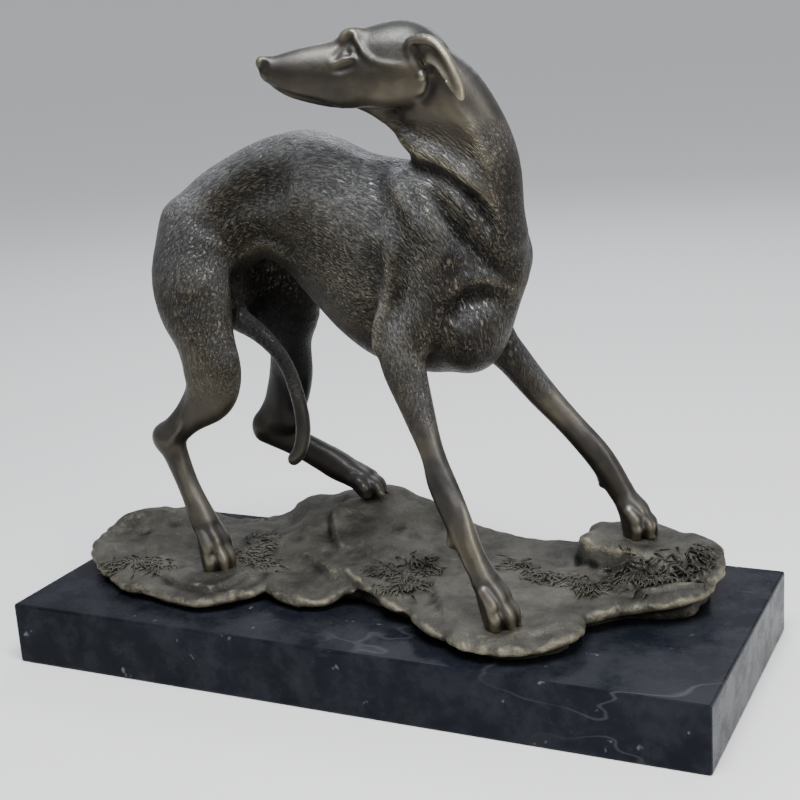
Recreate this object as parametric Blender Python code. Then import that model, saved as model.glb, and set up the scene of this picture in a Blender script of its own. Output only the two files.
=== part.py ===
"""A bronze greyhound that looks back over its shoulder, in one with its rocky ground, on a marble plinth.

Metres, +Z up, with the origin at the centre of the plinth's underside. The dog faces +X and looks back to -X.
The casting is modelled like clay: each bone, muscle and rock is a simple form that is pressed softly into
its neighbours in a block of signed distances, and the skin of the block becomes the mesh. Every length of
the casting is in figure units, a FIGURE_UNITS-th of FIGURE_HEIGHT, from the middle of the plinth's top.
"""

import math

import bmesh
import bpy
import numpy as np

# Driving dimensions, in metres.
PLINTH_LENGTH = 0.360
PLINTH_WIDTH = 0.152
PLINTH_HEIGHT = 0.032
PLINTH_BEVEL = 0.0012
SEAT_GAP = 0.0003  # between the casting's flat underside and the plinth
FIGURE_HEIGHT = 0.278  # from the plinth's top to the crown of the head
CASTING_TRIANGLES = 9200

# The casting's own proportions, in figure units.
FIGURE_UNITS = 278.0
CLAY_STEP = 1.6  # side of a cell of the clay block
BLOCK_LOW = (-184.0, -78.0, -4.0)
BLOCK_HIGH = (170.0, 74.0, 284.0)

UP = (0.0, 0.0, 1.0)
AWAY = (0.0, 1.0, 0.0)


def smooth_path(stations, pieces):
    """A smooth curve through the stations, each a row of numbers, with this many pieces between two."""
    rows = np.array(stations, float)
    ends = np.vstack([2 * rows[0] - rows[1], rows, 2 * rows[-1] - rows[-2]])
    made = []
    for a, b, c, d in zip(ends, ends[1:], ends[2:], ends[3:]):
        for t in np.arange(pieces) / pieces:
            bend = (2 * a - 5 * b + 4 * c - d) * t**2 + (3 * b - a - 3 * c + d) * t**3
            made.append(0.5 * (2 * b + (c - a) * t + bend))
    return np.array(made + [rows[-1]], np.float32)


def unit(vector):
    vector = np.array(vector, float)
    return vector / np.linalg.norm(vector)


class Clay:
    """A block of signed distances, negative inside. Forms are pressed on or carved out with a soft join."""

    def __init__(self, low, high, step):
        self.step = step
        self.axes = [np.arange(a, b + step, step, dtype=np.float32) for a, b in zip(low, high)]
        self.value = np.full([len(a) for a in self.axes], 40.0, np.float32)

    def window(self, low, high):
        """The slices of the block that hold a box, and the coordinates there."""
        cut = []
        for axis, a, b in zip(self.axes, low, high):
            cut.append(slice(max(0, np.searchsorted(axis, a) - 1), np.searchsorted(axis, b) + 1))
        points = [axis[c] for axis, c in zip(self.axes, cut)]
        return tuple(cut), np.meshgrid(*points, indexing="ij")

    def press(self, form, soft=4.0):
        self.join(form, soft, 1.0)

    def carve(self, form, soft=2.0):
        self.join(form, soft, -1.0)

    def join(self, form, soft, sign):
        """A smooth minimum with the form (sign 1), or with its opposite from the other side (sign -1)."""
        distance, low, high = form
        margin = soft + 2 * self.step
        cut, points = self.window(np.array(low) - margin, np.array(high) + margin)
        old = sign * self.value[cut]
        new = distance(*points)
        share = np.clip(0.5 + 0.5 * (old - new) / soft, 0, 1)
        self.value[cut] = sign * (old + (new - old) * share - soft * share * (1 - share))

    def fold(self, height, width, spots):
        """Raises the skin near a curve by up to this height, or lowers it, within about this width of it."""
        path = smooth_path(spots, 3)
        reach = 2.4 * width
        cut, (x, y, z) = self.window(path.min(0) - reach, path.max(0) + reach)
        nearest = np.full(x.shape, 1e9, np.float32)
        along = np.zeros(x.shape, np.float32)
        for i, (start, run) in enumerate(zip(path, np.diff(path, axis=0))):
            px, py, pz = x - start[0], y - start[1], z - start[2]
            t = np.clip((px * run[0] + py * run[1] + pz * run[2]) / (run @ run), 0, 1)
            far = (px - t * run[0]) ** 2 + (py - t * run[1]) ** 2 + (pz - t * run[2]) ** 2
            along = np.where(far < nearest, (i + t) / (len(path) - 1), along)
            nearest = np.minimum(far, nearest)
        fade = np.sqrt(np.sin(np.pi * along) + 1e-6)
        self.value[cut] -= height * fade * np.exp(-nearest / width**2)


def sweep(stations, side=AWAY, pieces=4):
    """A limb along a curve. A station is x, y, z, half its width along side and half its depth across it."""
    path = smooth_path(stations, pieces)
    spots, half = path[:, :3], path[:, 3:5]
    reach = half.max() + 1
    runs = np.diff(spots, axis=0)
    tangents = runs / np.linalg.norm(runs, axis=1, keepdims=True)
    sides = np.array(side, np.float32) - (tangents @ np.array(side, np.float32))[:, None] * tangents
    sides /= np.linalg.norm(sides, axis=1, keepdims=True)
    depths = np.cross(tangents, sides)

    def distance(x, y, z):
        nearest = np.full(x.shape, 1e9, np.float32)
        made = np.full(x.shape, 1e9, np.float32)
        for i, run in enumerate(runs):
            px, py, pz = x - spots[i, 0], y - spots[i, 1], z - spots[i, 2]
            t = np.clip((px * run[0] + py * run[1] + pz * run[2]) / (run @ run), 0, 1)
            px, py, pz = px - t * run[0], py - t * run[1], pz - t * run[2]
            far = px * px + py * py + pz * pz
            closer = far < nearest
            nearest = np.where(closer, far, nearest)
            w = half[i, 0] + t * (half[i + 1, 0] - half[i, 0])
            d = half[i, 1] + t * (half[i + 1, 1] - half[i, 1])
            e = np.minimum(w, d)
            u = (px * sides[i, 0] + py * sides[i, 1] + pz * sides[i, 2]) / w
            v = (px * depths[i, 0] + py * depths[i, 1] + pz * depths[i, 2]) / d
            s = (px * tangents[i, 0] + py * tangents[i, 1] + pz * tangents[i, 2]) / e
            k = np.sqrt(u * u + v * v + s * s)
            g = np.sqrt((u / w) ** 2 + (v / d) ** 2 + (s / e) ** 2) + 1e-6
            made = np.where(closer, k * (k - 1) / g, made)
        return made

    return distance, spots.min(0) - reach, spots.max(0) + reach


def egg(centre, radii, ahead=(1, 0, 0), side=AWAY):
    """An ellipsoid. Its three radii lie along ahead, along side and across both."""
    a = unit(ahead)
    s = unit(np.array(side, float) - np.dot(side, a) * a)
    axes = np.array([a, s, np.cross(a, s)], np.float32)
    radii = np.array(radii, np.float32)

    def distance(x, y, z):
        px, py, pz = x - centre[0], y - centre[1], z - centre[2]
        scaled = [(px * n[0] + py * n[1] + pz * n[2]) / r for n, r in zip(axes, radii)]
        k = np.sqrt(sum(q * q for q in scaled))
        g = np.sqrt(sum((q / r) ** 2 for q, r in zip(scaled, radii))) + 1e-6
        return k * (k - 1) / g

    reach = radii.max()
    return distance, np.array(centre) - reach, np.array(centre) + reach


def barrel(stations):
    """A trunk along X. A station is x, the heights of its top and bottom, half its width, its middle's y."""
    path = smooth_path(stations, 4)
    low = (path[0, 0], (path[:, 4] - path[:, 3]).min(), path[:, 2].min())
    high = (path[-1, 0], (path[:, 4] + path[:, 3]).max(), path[:, 1].max())

    def distance(x, y, z):
        along = x[:, :1, :1]
        top, bottom, half, middle = (np.interp(along, path[:, 0], path[:, n]) for n in (1, 2, 3, 4))
        tall = (top - bottom) / 2
        u, v = (y - middle) / half, (z - bottom - tall) / tall
        k = np.sqrt(u * u + v * v)
        round_the_axis = k * (k - 1) / (np.sqrt((u / half) ** 2 + (v / tall) ** 2) + 1e-6)
        return np.maximum(round_the_axis, np.abs(x - (low[0] + high[0]) / 2) - (high[0] - low[0]) / 2)

    return distance, low, high


def outline_distance(outline, x, y):
    """The signed distance from a closed outline in the plane, negative inside."""
    around = list(outline[-1:]) + list(outline) + list(outline[:2])
    corners = smooth_path(around, 5)[5:-5, :2]
    nearest = np.full(x.shape, 1e9, np.float32)
    inside = np.zeros(x.shape, bool)
    for (ax, ay), (bx, by) in zip(corners, corners[1:]):
        dx, dy = bx - ax, by - ay
        t = np.clip(((x - ax) * dx + (y - ay) * dy) / (dx * dx + dy * dy + 1e-9), 0, 1)
        nearest = np.minimum(nearest, (x - ax - t * dx) ** 2 + (y - ay - t * dy) ** 2)
        crossed = ((ay > y) != (by > y)) & (x < ax + (y - ay) * dx / (dy if dy else 1e-9))
        inside ^= crossed
    return np.where(inside, -1, 1) * np.sqrt(nearest)


# The rock: its rim seen from above, and its height at places on it.
ROCK_RIM = [
    (-176, 4), (-172, -12), (-163, -26), (-141, -43), (-124, -50), (-108, -54), (-94, -57), (-82, -58),
    (-72, -54), (-64, -46), (-58, -37), (-55, -30), (-51, -34), (-44, -38), (-36, -40), (-27, -40),
    (-20, -36), (-15, -29), (-10, -27), (5, -33), (16, -38), (27, -43), (38, -50), (50, -59), (70, -67),
    (82, -68), (94, -66), (103, -60), (110, -53), (113, -43), (110, -33), (109, -27), (118, -18),
    (124, -12), (132, -9), (146, -6), (154, 2), (158, 12), (160, 26), (156, 40), (148, 48), (136, 53),
    (120, 55), (104, 54), (84, 51), (66, 52), (40, 52), (18, 55), (0, 58), (-10, 61), (-28, 63.5),
    (-44, 61), (-56, 58), (-68, 52), (-80, 47), (-110, 44), (-145, 40), (-160, 34), (-171, 22)]
ROCK_HEIGHTS = [
    (-172, 0, 11), (-167, 17, 16.5), (-153, 26, 17), (-138, 25, 13), (-152, 2, 9.5), (-150, -26, 8),
    (-128, -42, 7), (-100, -48, 7), (-78, -50, 7.5), (-120, -20, 8.5), (-95, -30, 8.5), (-85, -25, 9),
    (-66, -42, 8), (-60, -25, 9), (-110, 36, 10.5), (-85, 32, 13), (-40, -34, 6), (-25, -32, 7),
    (-42, -18, 9), (-30, -12, 11.5), (-10, -18, 12), (10, -28, 11.5), (30, -38, 11), (20, 0, 12),
    (50, 0, 11.5), (50, 40, 12.5), (75, 30, 11.5), (10, 40, 16), (-28, 60, 31), (-30, 45, 29),
    (-50, 54, 29), (-45, 34, 25), (-25, 25, 22), (-12, 52, 26), (-34, 12, 16), (-4, 25, 17),
    (-64, 50, 25), (60, -55, 9), (85, -60, 9.5), (106, -46, 11), (80, -40, 9.5), (50, -40, 10.5),
    (100, -15, 9.5), (120, -5, 10), (88, 4, 10.5), (84, 20, 11), (82, 42, 12), (97, 34, 25),
    (112, 28, 24.5), (130, 28, 24.5), (146, 36, 24.5), (140, 47, 25.5), (115, 50, 27), (98, 48, 26),
    (110, 8, 11), (130, 10, 13), (150, 13, 14), (158, 30, 18)]
ROCK_LEDGE = 1.6  # how far the lip stands out past the rim
ROCK_LIP = 2.6
ROCK_RECESS = 8.0
ROCK_ROLL = 1.2
ROCK_SWELL = 0.6  # how far the surface rises and falls between its places
# The depth and the length of each wave along the broken rim.
ROCK_CHIPS = [(0.5, 43.0), (0.5, 19.0), (0.4, 8.5)]
PAW_SIZE = 1.25  # how broad the paws are, against the end of a plain leg


# Ledges of the rock: how far the edge stands up, how far back that fades, and the edge from above.
LEDGES = [
    # the front of the left slab
    (3.2, 8.0, [(-124, -34), (-111, -39), (-97, -47), (-85, -49), (-76, -49), (-71, -34), (-66, -21)]),
    # over the chip in front
    (4.0, 8.0, [(-53, -2), (-40, -8), (-25, -20), (-16, -21), (-2, -30), (11, -37)]),
    # the cleft before the far hind paw
    (5.2, 14.0, [(-46, 45), (-47, 32), (-45, 22), (-39, 13), (-29, 0)]),
    # the left edge of the tongue
    (2.4, 7.0, [(24, -5), (34, -24), (42, -37), (51, -50)]),
    # the cliff of the right mound
    (6.0, 9.0, [(89, 53), (85, 41), (89, 28), (100, 20), (114, 17), (130, 18)]),
    # an upper layer on the right
    (3.2, 5.0, [(100, 10), (116, 6), (132, 7), (146, 12), (154, 22), (156, 36)]),
    # a lower layer on the right
    (3.0, 5.0, [(112, -4), (124, -2), (138, 0), (149, 5), (156, 14), (158, 26)]),
]


def rock_height(x, y):
    """The height of the rock's surface: smooth between its places, and stepped up along its ledges."""
    total = np.zeros(x.shape, np.float32)
    weight = np.zeros(x.shape, np.float32)
    for a, b, height in ROCK_HEIGHTS:
        share = 1 / ((x - a) ** 2 + (y - b) ** 2 + 50) ** 2
        total += share * height
        weight += share
    surface = total / weight + ROCK_SWELL * np.sin(0.13 * x + 1.0) * np.cos(0.17 * y)
    for rise, fade, edge in LEDGES:
        surface += ledge(x, y, rise, fade, edge)
    return surface


def chips(x, y):
    """The unevenness of the broken rim: shorter and shorter waves, each bent by the one before."""
    total = np.zeros(x.shape, np.float32)
    bend = 1.0
    for depth, length in ROCK_CHIPS:
        turn = 2 * np.pi / length
        wave = np.sin(turn * x + bend) * np.cos(1.13 * turn * y - 0.7 * bend)
        total += depth * wave
        bend = 2.0 * wave + length
    return total


def ledge(x, y, rise, fade, edge):
    """A step along a line. The side on its left stands up by rise at the line, and ever less behind it."""
    path = smooth_path(edge, 4)
    nearest = np.full(x.shape, 1e9, np.float32)
    side = np.zeros(x.shape, np.float32)
    along = np.zeros(x.shape, np.float32)
    for i, (start, run) in enumerate(zip(path, np.diff(path, axis=0))):
        px, py = x - start[0], y - start[1]
        t = np.clip((px * run[0] + py * run[1]) / (run @ run), 0, 1)
        far = (px - t * run[0]) ** 2 + (py - t * run[1]) ** 2
        closer = far < nearest
        nearest = np.where(closer, far, nearest)
        side = np.where(closer, run[0] * py - run[1] * px, side)
        along = np.where(closer, (i + t) / (len(path) - 1), along)
    far = np.sqrt(nearest)
    above = rise * np.exp(-far / fade)
    below = -0.4 * rise * np.exp(-far / 3)
    share = np.clip(0.5 + 0.5 * np.sign(side) * far / 1.2, 0, 1)
    return np.sqrt(np.sin(np.pi * along) + 1e-6) * (below + (above - below) * share)


def rock():
    """The whole rock down to the plinth. Its rim rolls over to a lip, and its foot draws in below that."""
    corners = np.array(ROCK_RIM, float)

    def distance(x, y, z):
        flat_x, flat_y = x[:, :, 0], y[:, :, 0]
        edge = outline_distance(ROCK_RIM, flat_x, flat_y) - ROCK_LEDGE
        edge = edge + chips(flat_x, flat_y)
        surface = rock_height(flat_x, flat_y) - ROCK_ROLL * np.clip(1 + edge / 6, 0, 1) ** 2
        below = surface[:, :, None] - z
        wall = edge[:, :, None] + ROCK_RECESS * np.clip((below - ROCK_LIP) / 4, 0, 1) ** 1.5
        steep = np.gradient(surface, flat_x[:, 0], flat_y[0])
        under = -below / np.sqrt(1.1 + steep[0] ** 2 + steep[1] ** 2)[:, :, None]
        share = np.clip(0.5 + 0.5 * (wall - under) / 1.6, 0, 1)
        return under + (wall - under) * share + 1.6 * share * (1 - share)

    reach = ROCK_LEDGE + 2
    low = (corners[:, 0].min() - reach, corners[:, 1].min() - reach, -4.0)
    return distance, low, (corners[:, 0].max() + reach, corners[:, 1].max() + reach, 44.0)


ROCK_FOLDS = [
    # the raised rim at the left
    (2.5, 4.5, [(-173, -6, 11), (-172, 6, 14), (-163, 18, 17), (-150, 24, 17), (-138, 24, 13)]),
    # inside that rim
    (-2.0, 4.5, [(-161, -15, 10), (-170, 2, 11), (-162, 7, 13), (-151, 8, 10)]),
    # the lip by the hind paw
    (1.6, 2.5, [(-77, -51, 8), (-74, -43, 8), (-71, -32, 8), (-67, -24, 9), (-64, -21, 9)]),
    # under the lip
    (-3.0, 3.5, [(-65, -41, 8), (-62, -34, 8), (-59, -29, 9), (-61, -20, 9)]),
    # the lip of the tongue
    (2.2, 2.4, [(50, -55, 9), (68, -62, 9), (83, -62, 10), (93, -52, 10), (104, -43, 11), (110, -25, 9)]),
    # the brassy ridge on the right
    (2.2, 2.6, [(112, -26, 8), (118, -19, 9), (121, -10, 10), (121, 2, 10), (124, 6, 12)]),
]


def ground(clay):
    clay.press(rock(), 1.0)
    for height, width, spots in ROCK_FOLDS:
        clay.fold(height, width, spots)


def trunk(clay):
    clay.press(barrel([
        (-122, 180, 157, 6, 8), (-115, 193, 150, 13, 8), (-104, 201, 150, 17, 8), (-92, 209, 155, 20, 7),
        (-76, 217, 160, 21, 7), (-60, 223.5, 166, 19, 6), (-46, 227, 160, 20, 5),
        (-30, 228.5, 144, 23, 4), (-14, 224.5, 129.5, 25.5, 2), (4, 217, 119, 27.5, 1),
        (28, 213, 114, 27.5, 0), (46, 207, 116, 25, 0), (58, 200, 121, 21, 1), (67, 190, 133, 16, 2),
        (73, 178, 147, 10, 3), (77, 169, 157, 5, 4)]), 4.0)
    clay.press(egg((52.5, -6, 136), (16, 19, 19)), 9.0)  # the brisket
    clay.press(egg((64, 13, 168), (12.5, 12, 17)), 4.0)  # point of the far shoulder


def hind_leg_near(clay):
    clay.press(sweep([(-94, -4, 186, 11, 18), (-95, -12, 162, 13, 21), (-91, -16, 145, 13, 20.5),
                      (-85, -19, 128, 11, 16), (-81.5, -21, 113, 9.5, 16), (-85, -21.5, 101, 8.5, 14),
                      (-98, -21.5, 89, 7, 8.5), (-110, -21, 79, 6, 7.5)]), 6.0)
    clay.press(egg((-113, -21, 77), (8, 6, 8.5), (0.5, 0, 1)), 3.0)
    clay.press(sweep([(-111, -21, 76, 5.8, 7.5), (-103, -21, 53, 5, 6), (-95, -21.5, 34, 6.8, 7)]), 3.0)
    paw(clay, (-94, -21, 31), (-82, -23.5, 9.5))


def hind_leg_far(clay):
    clay.press(sweep([(-88, 19, 184, 11, 18), (-76, 27, 158, 13, 21), (-67.5, 33, 137, 12, 19.2),
                      (-69, 36, 117, 10, 11.8), (-71.8, 39, 98, 8, 12.5), (-79, 41, 80, 6.5, 12),
                      (-91, 42, 68, 6, 8)]), 6.0)
    clay.press(egg((-93, 42, 67), (7, 6, 7)), 3.0)
    clay.press(egg((-91, 12, 147), (16, 22, 19)), 8.0)  # the skin between the thighs
    clay.press(egg((-78, 30, 131), (11, 9, 12.5)), 6.0)  # the back of the far thigh
    clay.press(egg((-78, 41, 71), (9, 5.5, 8)), 4.0)  # the skin before the far heel's tendon
    clay.press(egg((-101.5, 3, 177), (14, 13, 15.5)), 8.0)  # the rump
    clay.press(sweep([(-93, 42, 65, 5.8, 8), (-72, 44, 56.5, 5.5, 7.9), (-52, 45, 46.6, 6.4, 8.4),
                      (-43, 45, 42.4, 6.6, 7.2)]), 3.0)
    paw(clay, (-41, 45, 42), (-25, 44, 33.8))


def foreleg_near(clay):
    clay.press(sweep([(24, -12, 207, 4, 7), (31, -17, 199, 6, 9), (38, -20, 188, 7, 11),
                      (43, -21, 172, 8, 13), (40, -23, 152, 8, 13), (31, -26, 138, 8, 12),
                      (27.6, -29, 127, 8, 11.4), (36.1, -34, 104.5, 6.5, 8), (44.4, -39, 86, 5.2, 5.8),
                      (49.5, -42, 73, 5.5, 6.8), (59, -45, 54, 5.5, 6.6), (65, -46.5, 41, 5, 6),
                      (70, -47, 32, 6.2, 6)]), 4.0)
    # The muscle behind the upper arm, down to the elbow.
    clay.press(sweep([(22, -18, 190, 4, 5), (22, -22, 177, 5, 6), (21, -24, 164, 5, 6),
                      (19, -27, 148, 5, 6), (17, -29, 133, 4.5, 4.5)]), 4.0)
    paw(clay, (71, -47, 29), (84, -48.5, 11))
    clay.press(egg((54.5, -46, 47.5), (2.6, 3, 4.5)), 1.5)  # the pad behind the wrist


def foreleg_far(clay):
    clay.press(sweep([(54, 16, 168, 9, 12), (47, 22, 146, 9, 11), (51, 27, 125, 8, 10.4),
                      (59, 30, 113.4, 7.2, 8.6), (71.2, 32, 97.6, 6.2, 7.6), (85, 34, 81.8, 5.6, 6.7),
                      (98.8, 36, 65.2, 5.7, 7), (108.8, 38, 47.5, 5.4, 6.4), (112, 38, 42, 6, 5.5)]), 4.0)
    paw(clay, (112.5, 38, 41), (123.5, 37.5, 27.5))
    clay.press(egg((99.5, 37, 53.5), (2.6, 3, 4.5)), 1.5)  # the pad behind the wrist


def paw(clay, root, tip):
    """Four toes with claws from the end of the leg to the ground, over a pad. The outer two are shorter."""
    root, tip = np.array(root, float), np.array(tip, float)
    along = unit(tip - root)
    across = unit(np.cross(along, UP))
    front = np.cross(across, along)
    heading = np.cross(UP, across)
    size = PAW_SIZE
    heel = tip - 8 * heading + 1.5 * np.array(UP)
    middle = 0.5 * root + 0.5 * heel
    pad = [(*root, 5 * size, 4.5 * size), (*middle, 6.2 * size, 4.8 * size), (*heel, 6.6 * size, 5 * size)]
    clay.press(sweep(pad, across), 3.0)
    for spread in (-1.4, -0.5, 0.5, 1.4):
        outer = abs(spread) > 1
        back, lift = (2, 0.4) if outer else (-5, 1.9)
        start = root + back * along + size * (3.2 * spread * across + lift * front)
        end = tip + 3.9 * size * spread * across - 6.0 * outer * heading
        toe = [start, 0.6 * start + 0.4 * end + 2.0 * front, 0.4 * start + 0.6 * end + 1.5 * front,
               0.2 * start + 0.8 * end + 1.9 * front, end]
        widths = [share * size for share in (2.4, 2.8, 2.6, 2.7, 1.9)]
        clay.press(sweep([(*spot, w, w) for spot, w in zip(toe, widths)], across), 1.0)
        claw = end + 3.4 * heading - 0.9 * np.array(UP)
        clay.press(sweep([(*end, 1.5, 1.5), (*claw, 0.6, 0.6)], across), 0.6)


def tail(clay):
    clay.press(sweep([(-113, 8, 176, 9, 10), (-110, 8, 158, 9, 11), (-98, 8, 145, 8, 10),
                      (-82, 5, 136, 5, 7), (-64, 0, 128, 4, 5), (-51, -2, 115.5, 3.6, 4),
                      (-43.5, -4, 97, 3.6, 3.9), (-41, -6, 82, 3.8, 4), (-43, -8, 71, 3.6, 3.8),
                      (-47, -8, 66.5, 3.4, 3.6)]), 2.0)


def neck(clay):
    clay.press(sweep([(36, -9, 256, 11, 15), (43, -6, 242, 13, 21), (49, -4, 226, 14, 24),
                      (54, -2, 210, 16, 24), (54, 0, 192, 18, 24), (57, 1, 178, 19, 22)]), 5.0)
    clay.press(sweep([(0, -17, 246, 3, 4), (13, -12, 240, 3.5, 4.5), (23, -10, 232, 3.5, 4.5),
                      (32, -12, 223.5, 3.5, 4.5), (42, -14, 216, 3, 4)]), 3.0)  # the windpipe


FACE_FOLDS = [
    # the eye's hollow, under the brow
    (-3.0, 1.6, [(12.8, -28.7, 272.6), (12.6, -29.8, 270.1), (12.3, -30.5, 267.6), (12, -31.4, 264.7),
                 (13, -31.8, 262.6)]),
    # the hollow before the eye
    (-1.6, 1.7, [(11.8, -30, 270.6), (9.5, -30.8, 267.4), (7.6, -32.3, 264.5), (5.7, -33.9, 261.7)]),
    # behind the eyeball
    (-1.8, 1.3, [(13.5, -29.8, 268.8), (15.3, -29.9, 266.6), (15.9, -30.6, 264.1), (14.3, -31.5, 262.5)]),
    # the brow
    (1.8, 1.3, [(12.1, -28.3, 273.9), (13.8, -28.9, 271.7), (15.1, -29.2, 268.7), (17.5, -29.6, 265.2),
                (20.3, -29.8, 262.2), (23.4, -29.6, 259.9)]),
    # the line from the brow to the ear
    (0.8, 1.3, [(21.6, -29.8, 260.8), (26.1, -29.3, 258.9), (32.2, -27.2, 257.7), (37.6, -24.4, 256.9)]),
    # the lower lid
    (1.3, 1.4, [(4.1, -35.1, 258.9), (7.9, -33.6, 260.4), (11.8, -32.3, 261.8), (15.2, -31.1, 262.9)]),
    # under the lower lid
    (-1.3, 1.8, [(5, -35.1, 257.2), (10, -33.4, 257.7), (15.2, -31.8, 259.5)]),
    # the mouth
    (-1.1, 1.3, [(-20.3, -40.4, 251.2), (-14.7, -38.3, 247.8), (-9, -36.2, 245.7), (-1.9, -32.8, 243.4),
                 (4.5, -26.5, 240.1)]),
    # the nostril
    (-2.0, 1.1, [(-25.6, -43, 263.6), (-24.1, -43.4, 262.3), (-24.1, -43.6, 260.6), (-25.6, -43.1, 258.9)]),
    # behind the nose
    (-1.0, 1.1, [(-23, -42.4, 262.6), (-22.8, -43.3, 259.2), (-22.4, -42.9, 256.2)]),
    # the back of the cheek
    (-2.0, 2.0, [(44.9, -19.2, 252.4), (45.1, -19, 248.1), (43.4, -19.3, 243.9), (39.3, -19.2, 240.6)]),
    # the edge of the cheek
    (1.0, 1.6, [(43.3, -20.5, 255.1), (43.5, -20.4, 250.9), (42.2, -20.3, 247.1), (39.7, -20.4, 244.1)]),
]


FOLDS = [
    # the windpipe, twisted round to the breast
    (4.2, 4.0, [(23, -12, 227), (36, -16, 220), (47, -17, 214), (57, -18, 207), (65, -16, 201),
                (70, -13, 192), (72, -12, 180)]),
    # the furrow under it
    (-4.6, 4.0, [(38, -16, 215), (44, -17, 211), (50, -18, 208), (58, -17, 202), (64, -16, 195),
                 (68, -14, 186), (71, -13, 176)]),
    # the muscle that shows in it
    (2.0, 7.0, [(37, -14, 209), (46, -17, 203), (53, -18, 196), (60, -17, 190), (66, -16, 181),
                (70, -13, 173)]),
    # the furrow before the shoulder
    (-4.4, 4.2, [(40, -18, 204), (45, -20, 198), (50, -21, 191), (56, -19, 183), (63, -17, 175),
                 (69, -12, 166), (74, -5, 158)]),
    # the front edge of the shoulder
    (2.6, 5.0, [(34, -14, 209), (42, -22, 198), (47, -26, 187), (49, -28, 175), (48, -29, 162)]),
    # the ledge over the breast
    (2.8, 4.2, [(50, -28, 153), (54, -25, 158), (58, -20, 161), (65, -16, 161), (70, -10, 158),
                (74, 0, 150)]),
    # the hollow under the ledge
    (-5.0, 5.0, [(50, -27, 145), (54, -24, 151), (59, -20, 154), (65, -15, 155), (70, -9, 152),
                 (72, 1, 146)]),
    # the edge of the neck muscle
    (1.8, 3.4, [(49, -18, 247), (55, -17, 237), (62, -16, 228), (66, -15, 219), (69, -14, 207),
                (71, -12, 194)]),
    # the hollow before it
    (-3.0, 7.0, [(24, -13, 234), (37, -17, 230), (47, -18, 226), (56, -18, 220), (62, -17, 212)]),
    # the back of the shoulder blade
    (-1.8, 4.0, [(18, -2, 214), (16, -9, 212), (16, -16, 204), (18, -22, 194), (18, -26, 183)]),
    # the spine of the shoulder blade
    (1.6, 3.6, [(20, -14, 209), (26, -21, 202), (33, -25, 194), (39, -27, 187), (43, -28, 181)]),
    # beside the spine
    (-1.3, 3.0, [(21, -4, 214), (30, -19, 207), (36, -24, 199), (41, -26, 192)]),
    # the muscle behind the upper arm
    (1.2, 4.5, [(22, -25, 188), (23, -28, 175), (23, -29, 162), (22, -31, 150), (19, -33, 139)]),
    # the hollow behind it
    (-3.6, 4.5, [(16, -26, 181), (16, -28, 166), (15, -29, 153), (6, -22, 140)]),
    # the hollow before it
    (-1.4, 3.6, [(29, -27, 175), (28, -28, 163), (27, -29, 153), (26, -33, 142)]),
    # the near edge of the back
    (1.5, 4.5, [(-29, -8, 222), (-18, -7, 222), (-5, -8, 217), (4, -8, 214), (14, -5, 214)]),
    # the hollow of the flank
    (-5.0, 12.0, [(-80, -15, 179), (-72, -14, 190), (-60, -13, 198), (-44, -14, 203), (-31, -17, 203)]),
    # the swell of the haunch
    (2.0, 12.0, [(-102, 1, 201), (-95, -16, 186), (-89, -23, 169), (-83, -27, 151)]),
    # the fold from thigh to belly
    (1.8, 3.6, [(-73, -13, 158), (-73, -5, 166), (-63, -6, 172), (-50, -10, 175), (-37, -14, 170),
                (-27, -17, 164)]),
    # above the fold
    (-2.0, 3.6, [(-75, -13, 170), (-68, -10, 176), (-56, -11, 180), (-41, -14, 178), (-30, -18, 173)]),
    # the ribs
    (1.0, 3.2, [(-29, -17, 205), (-32, -18, 194), (-35, -17, 181)]),
    (1.0, 3.2, [(-22, -18, 205), (-24, -20, 193), (-27, -20, 179)]),
    (0.9, 3.2, [(-14, -19, 202), (-15, -22, 189), (-19, -22, 172)]),
    (0.8, 3.2, [(-6, -20, 201), (-7, -24, 187), (-9, -24, 171)]),
    (0.7, 3.2, [(2, -21, 199), (1, -25, 186), (0, -26, 169)]),
    # the hollow before the near heel's tendon
    (-2.2, 2.5, [(-94, -27, 108), (-97, -27, 101), (-99, -28, 94), (-104, -28, 87), (-108, -27, 81)]),
    # the vein over the near hock
    (1.3, 1.6, [(-96, -27, 101), (-98, -28, 94), (-99, -28, 86), (-105, -27, 80), (-109, -27, 74)]),
    # behind that vein
    (-1.2, 1.8, [(-92, -29, 98), (-94, -29, 90), (-99, -26, 81), (-104, -25, 72)]),
    # the tendon down the near hind foot
    (1.0, 2.0, [(-107, -26, 70), (-103, -26, 62), (-100, -26, 52), (-97, -26, 44)]),
    # beside that tendon
    (-1.0, 1.7, [(-103, -24, 71), (-101, -23, 63), (-98, -24, 54), (-94, -25, 46)]),
    # the groove down the near foreleg
    (-1.5, 2.0, [(48, -45, 84), (53, -46, 76), (58, -46, 69), (60, -48, 63), (61, -50, 55), (62, -51, 47),
                 (66, -52, 39), (70, -54, 31)]),
    # the tendon before it
    (0.9, 2.4, [(49, -37, 88), (55, -40, 77), (59, -42, 69), (63, -46, 61), (65, -50, 51), (69, -51, 41),
                (73, -53, 32)]),
    # the groove down the far foreleg
    (-1.2, 2.0, [(76, 28, 99), (83, 29, 91), (90, 30, 83), (96, 31, 75), (102, 31, 66), (107, 32, 55)]),
    # the hollow before the far heel's tendon
    (-1.4, 2.4, [(-76, 31, 103), (-73, 32, 91), (-73, 35, 80), (-72, 36, 71)]),
]


def folds(clay):
    """Ridges and furrows of the skin. Each fades out at both ends."""
    for height, width, spots in FOLDS:
        clay.fold(height, width, spots)


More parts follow.
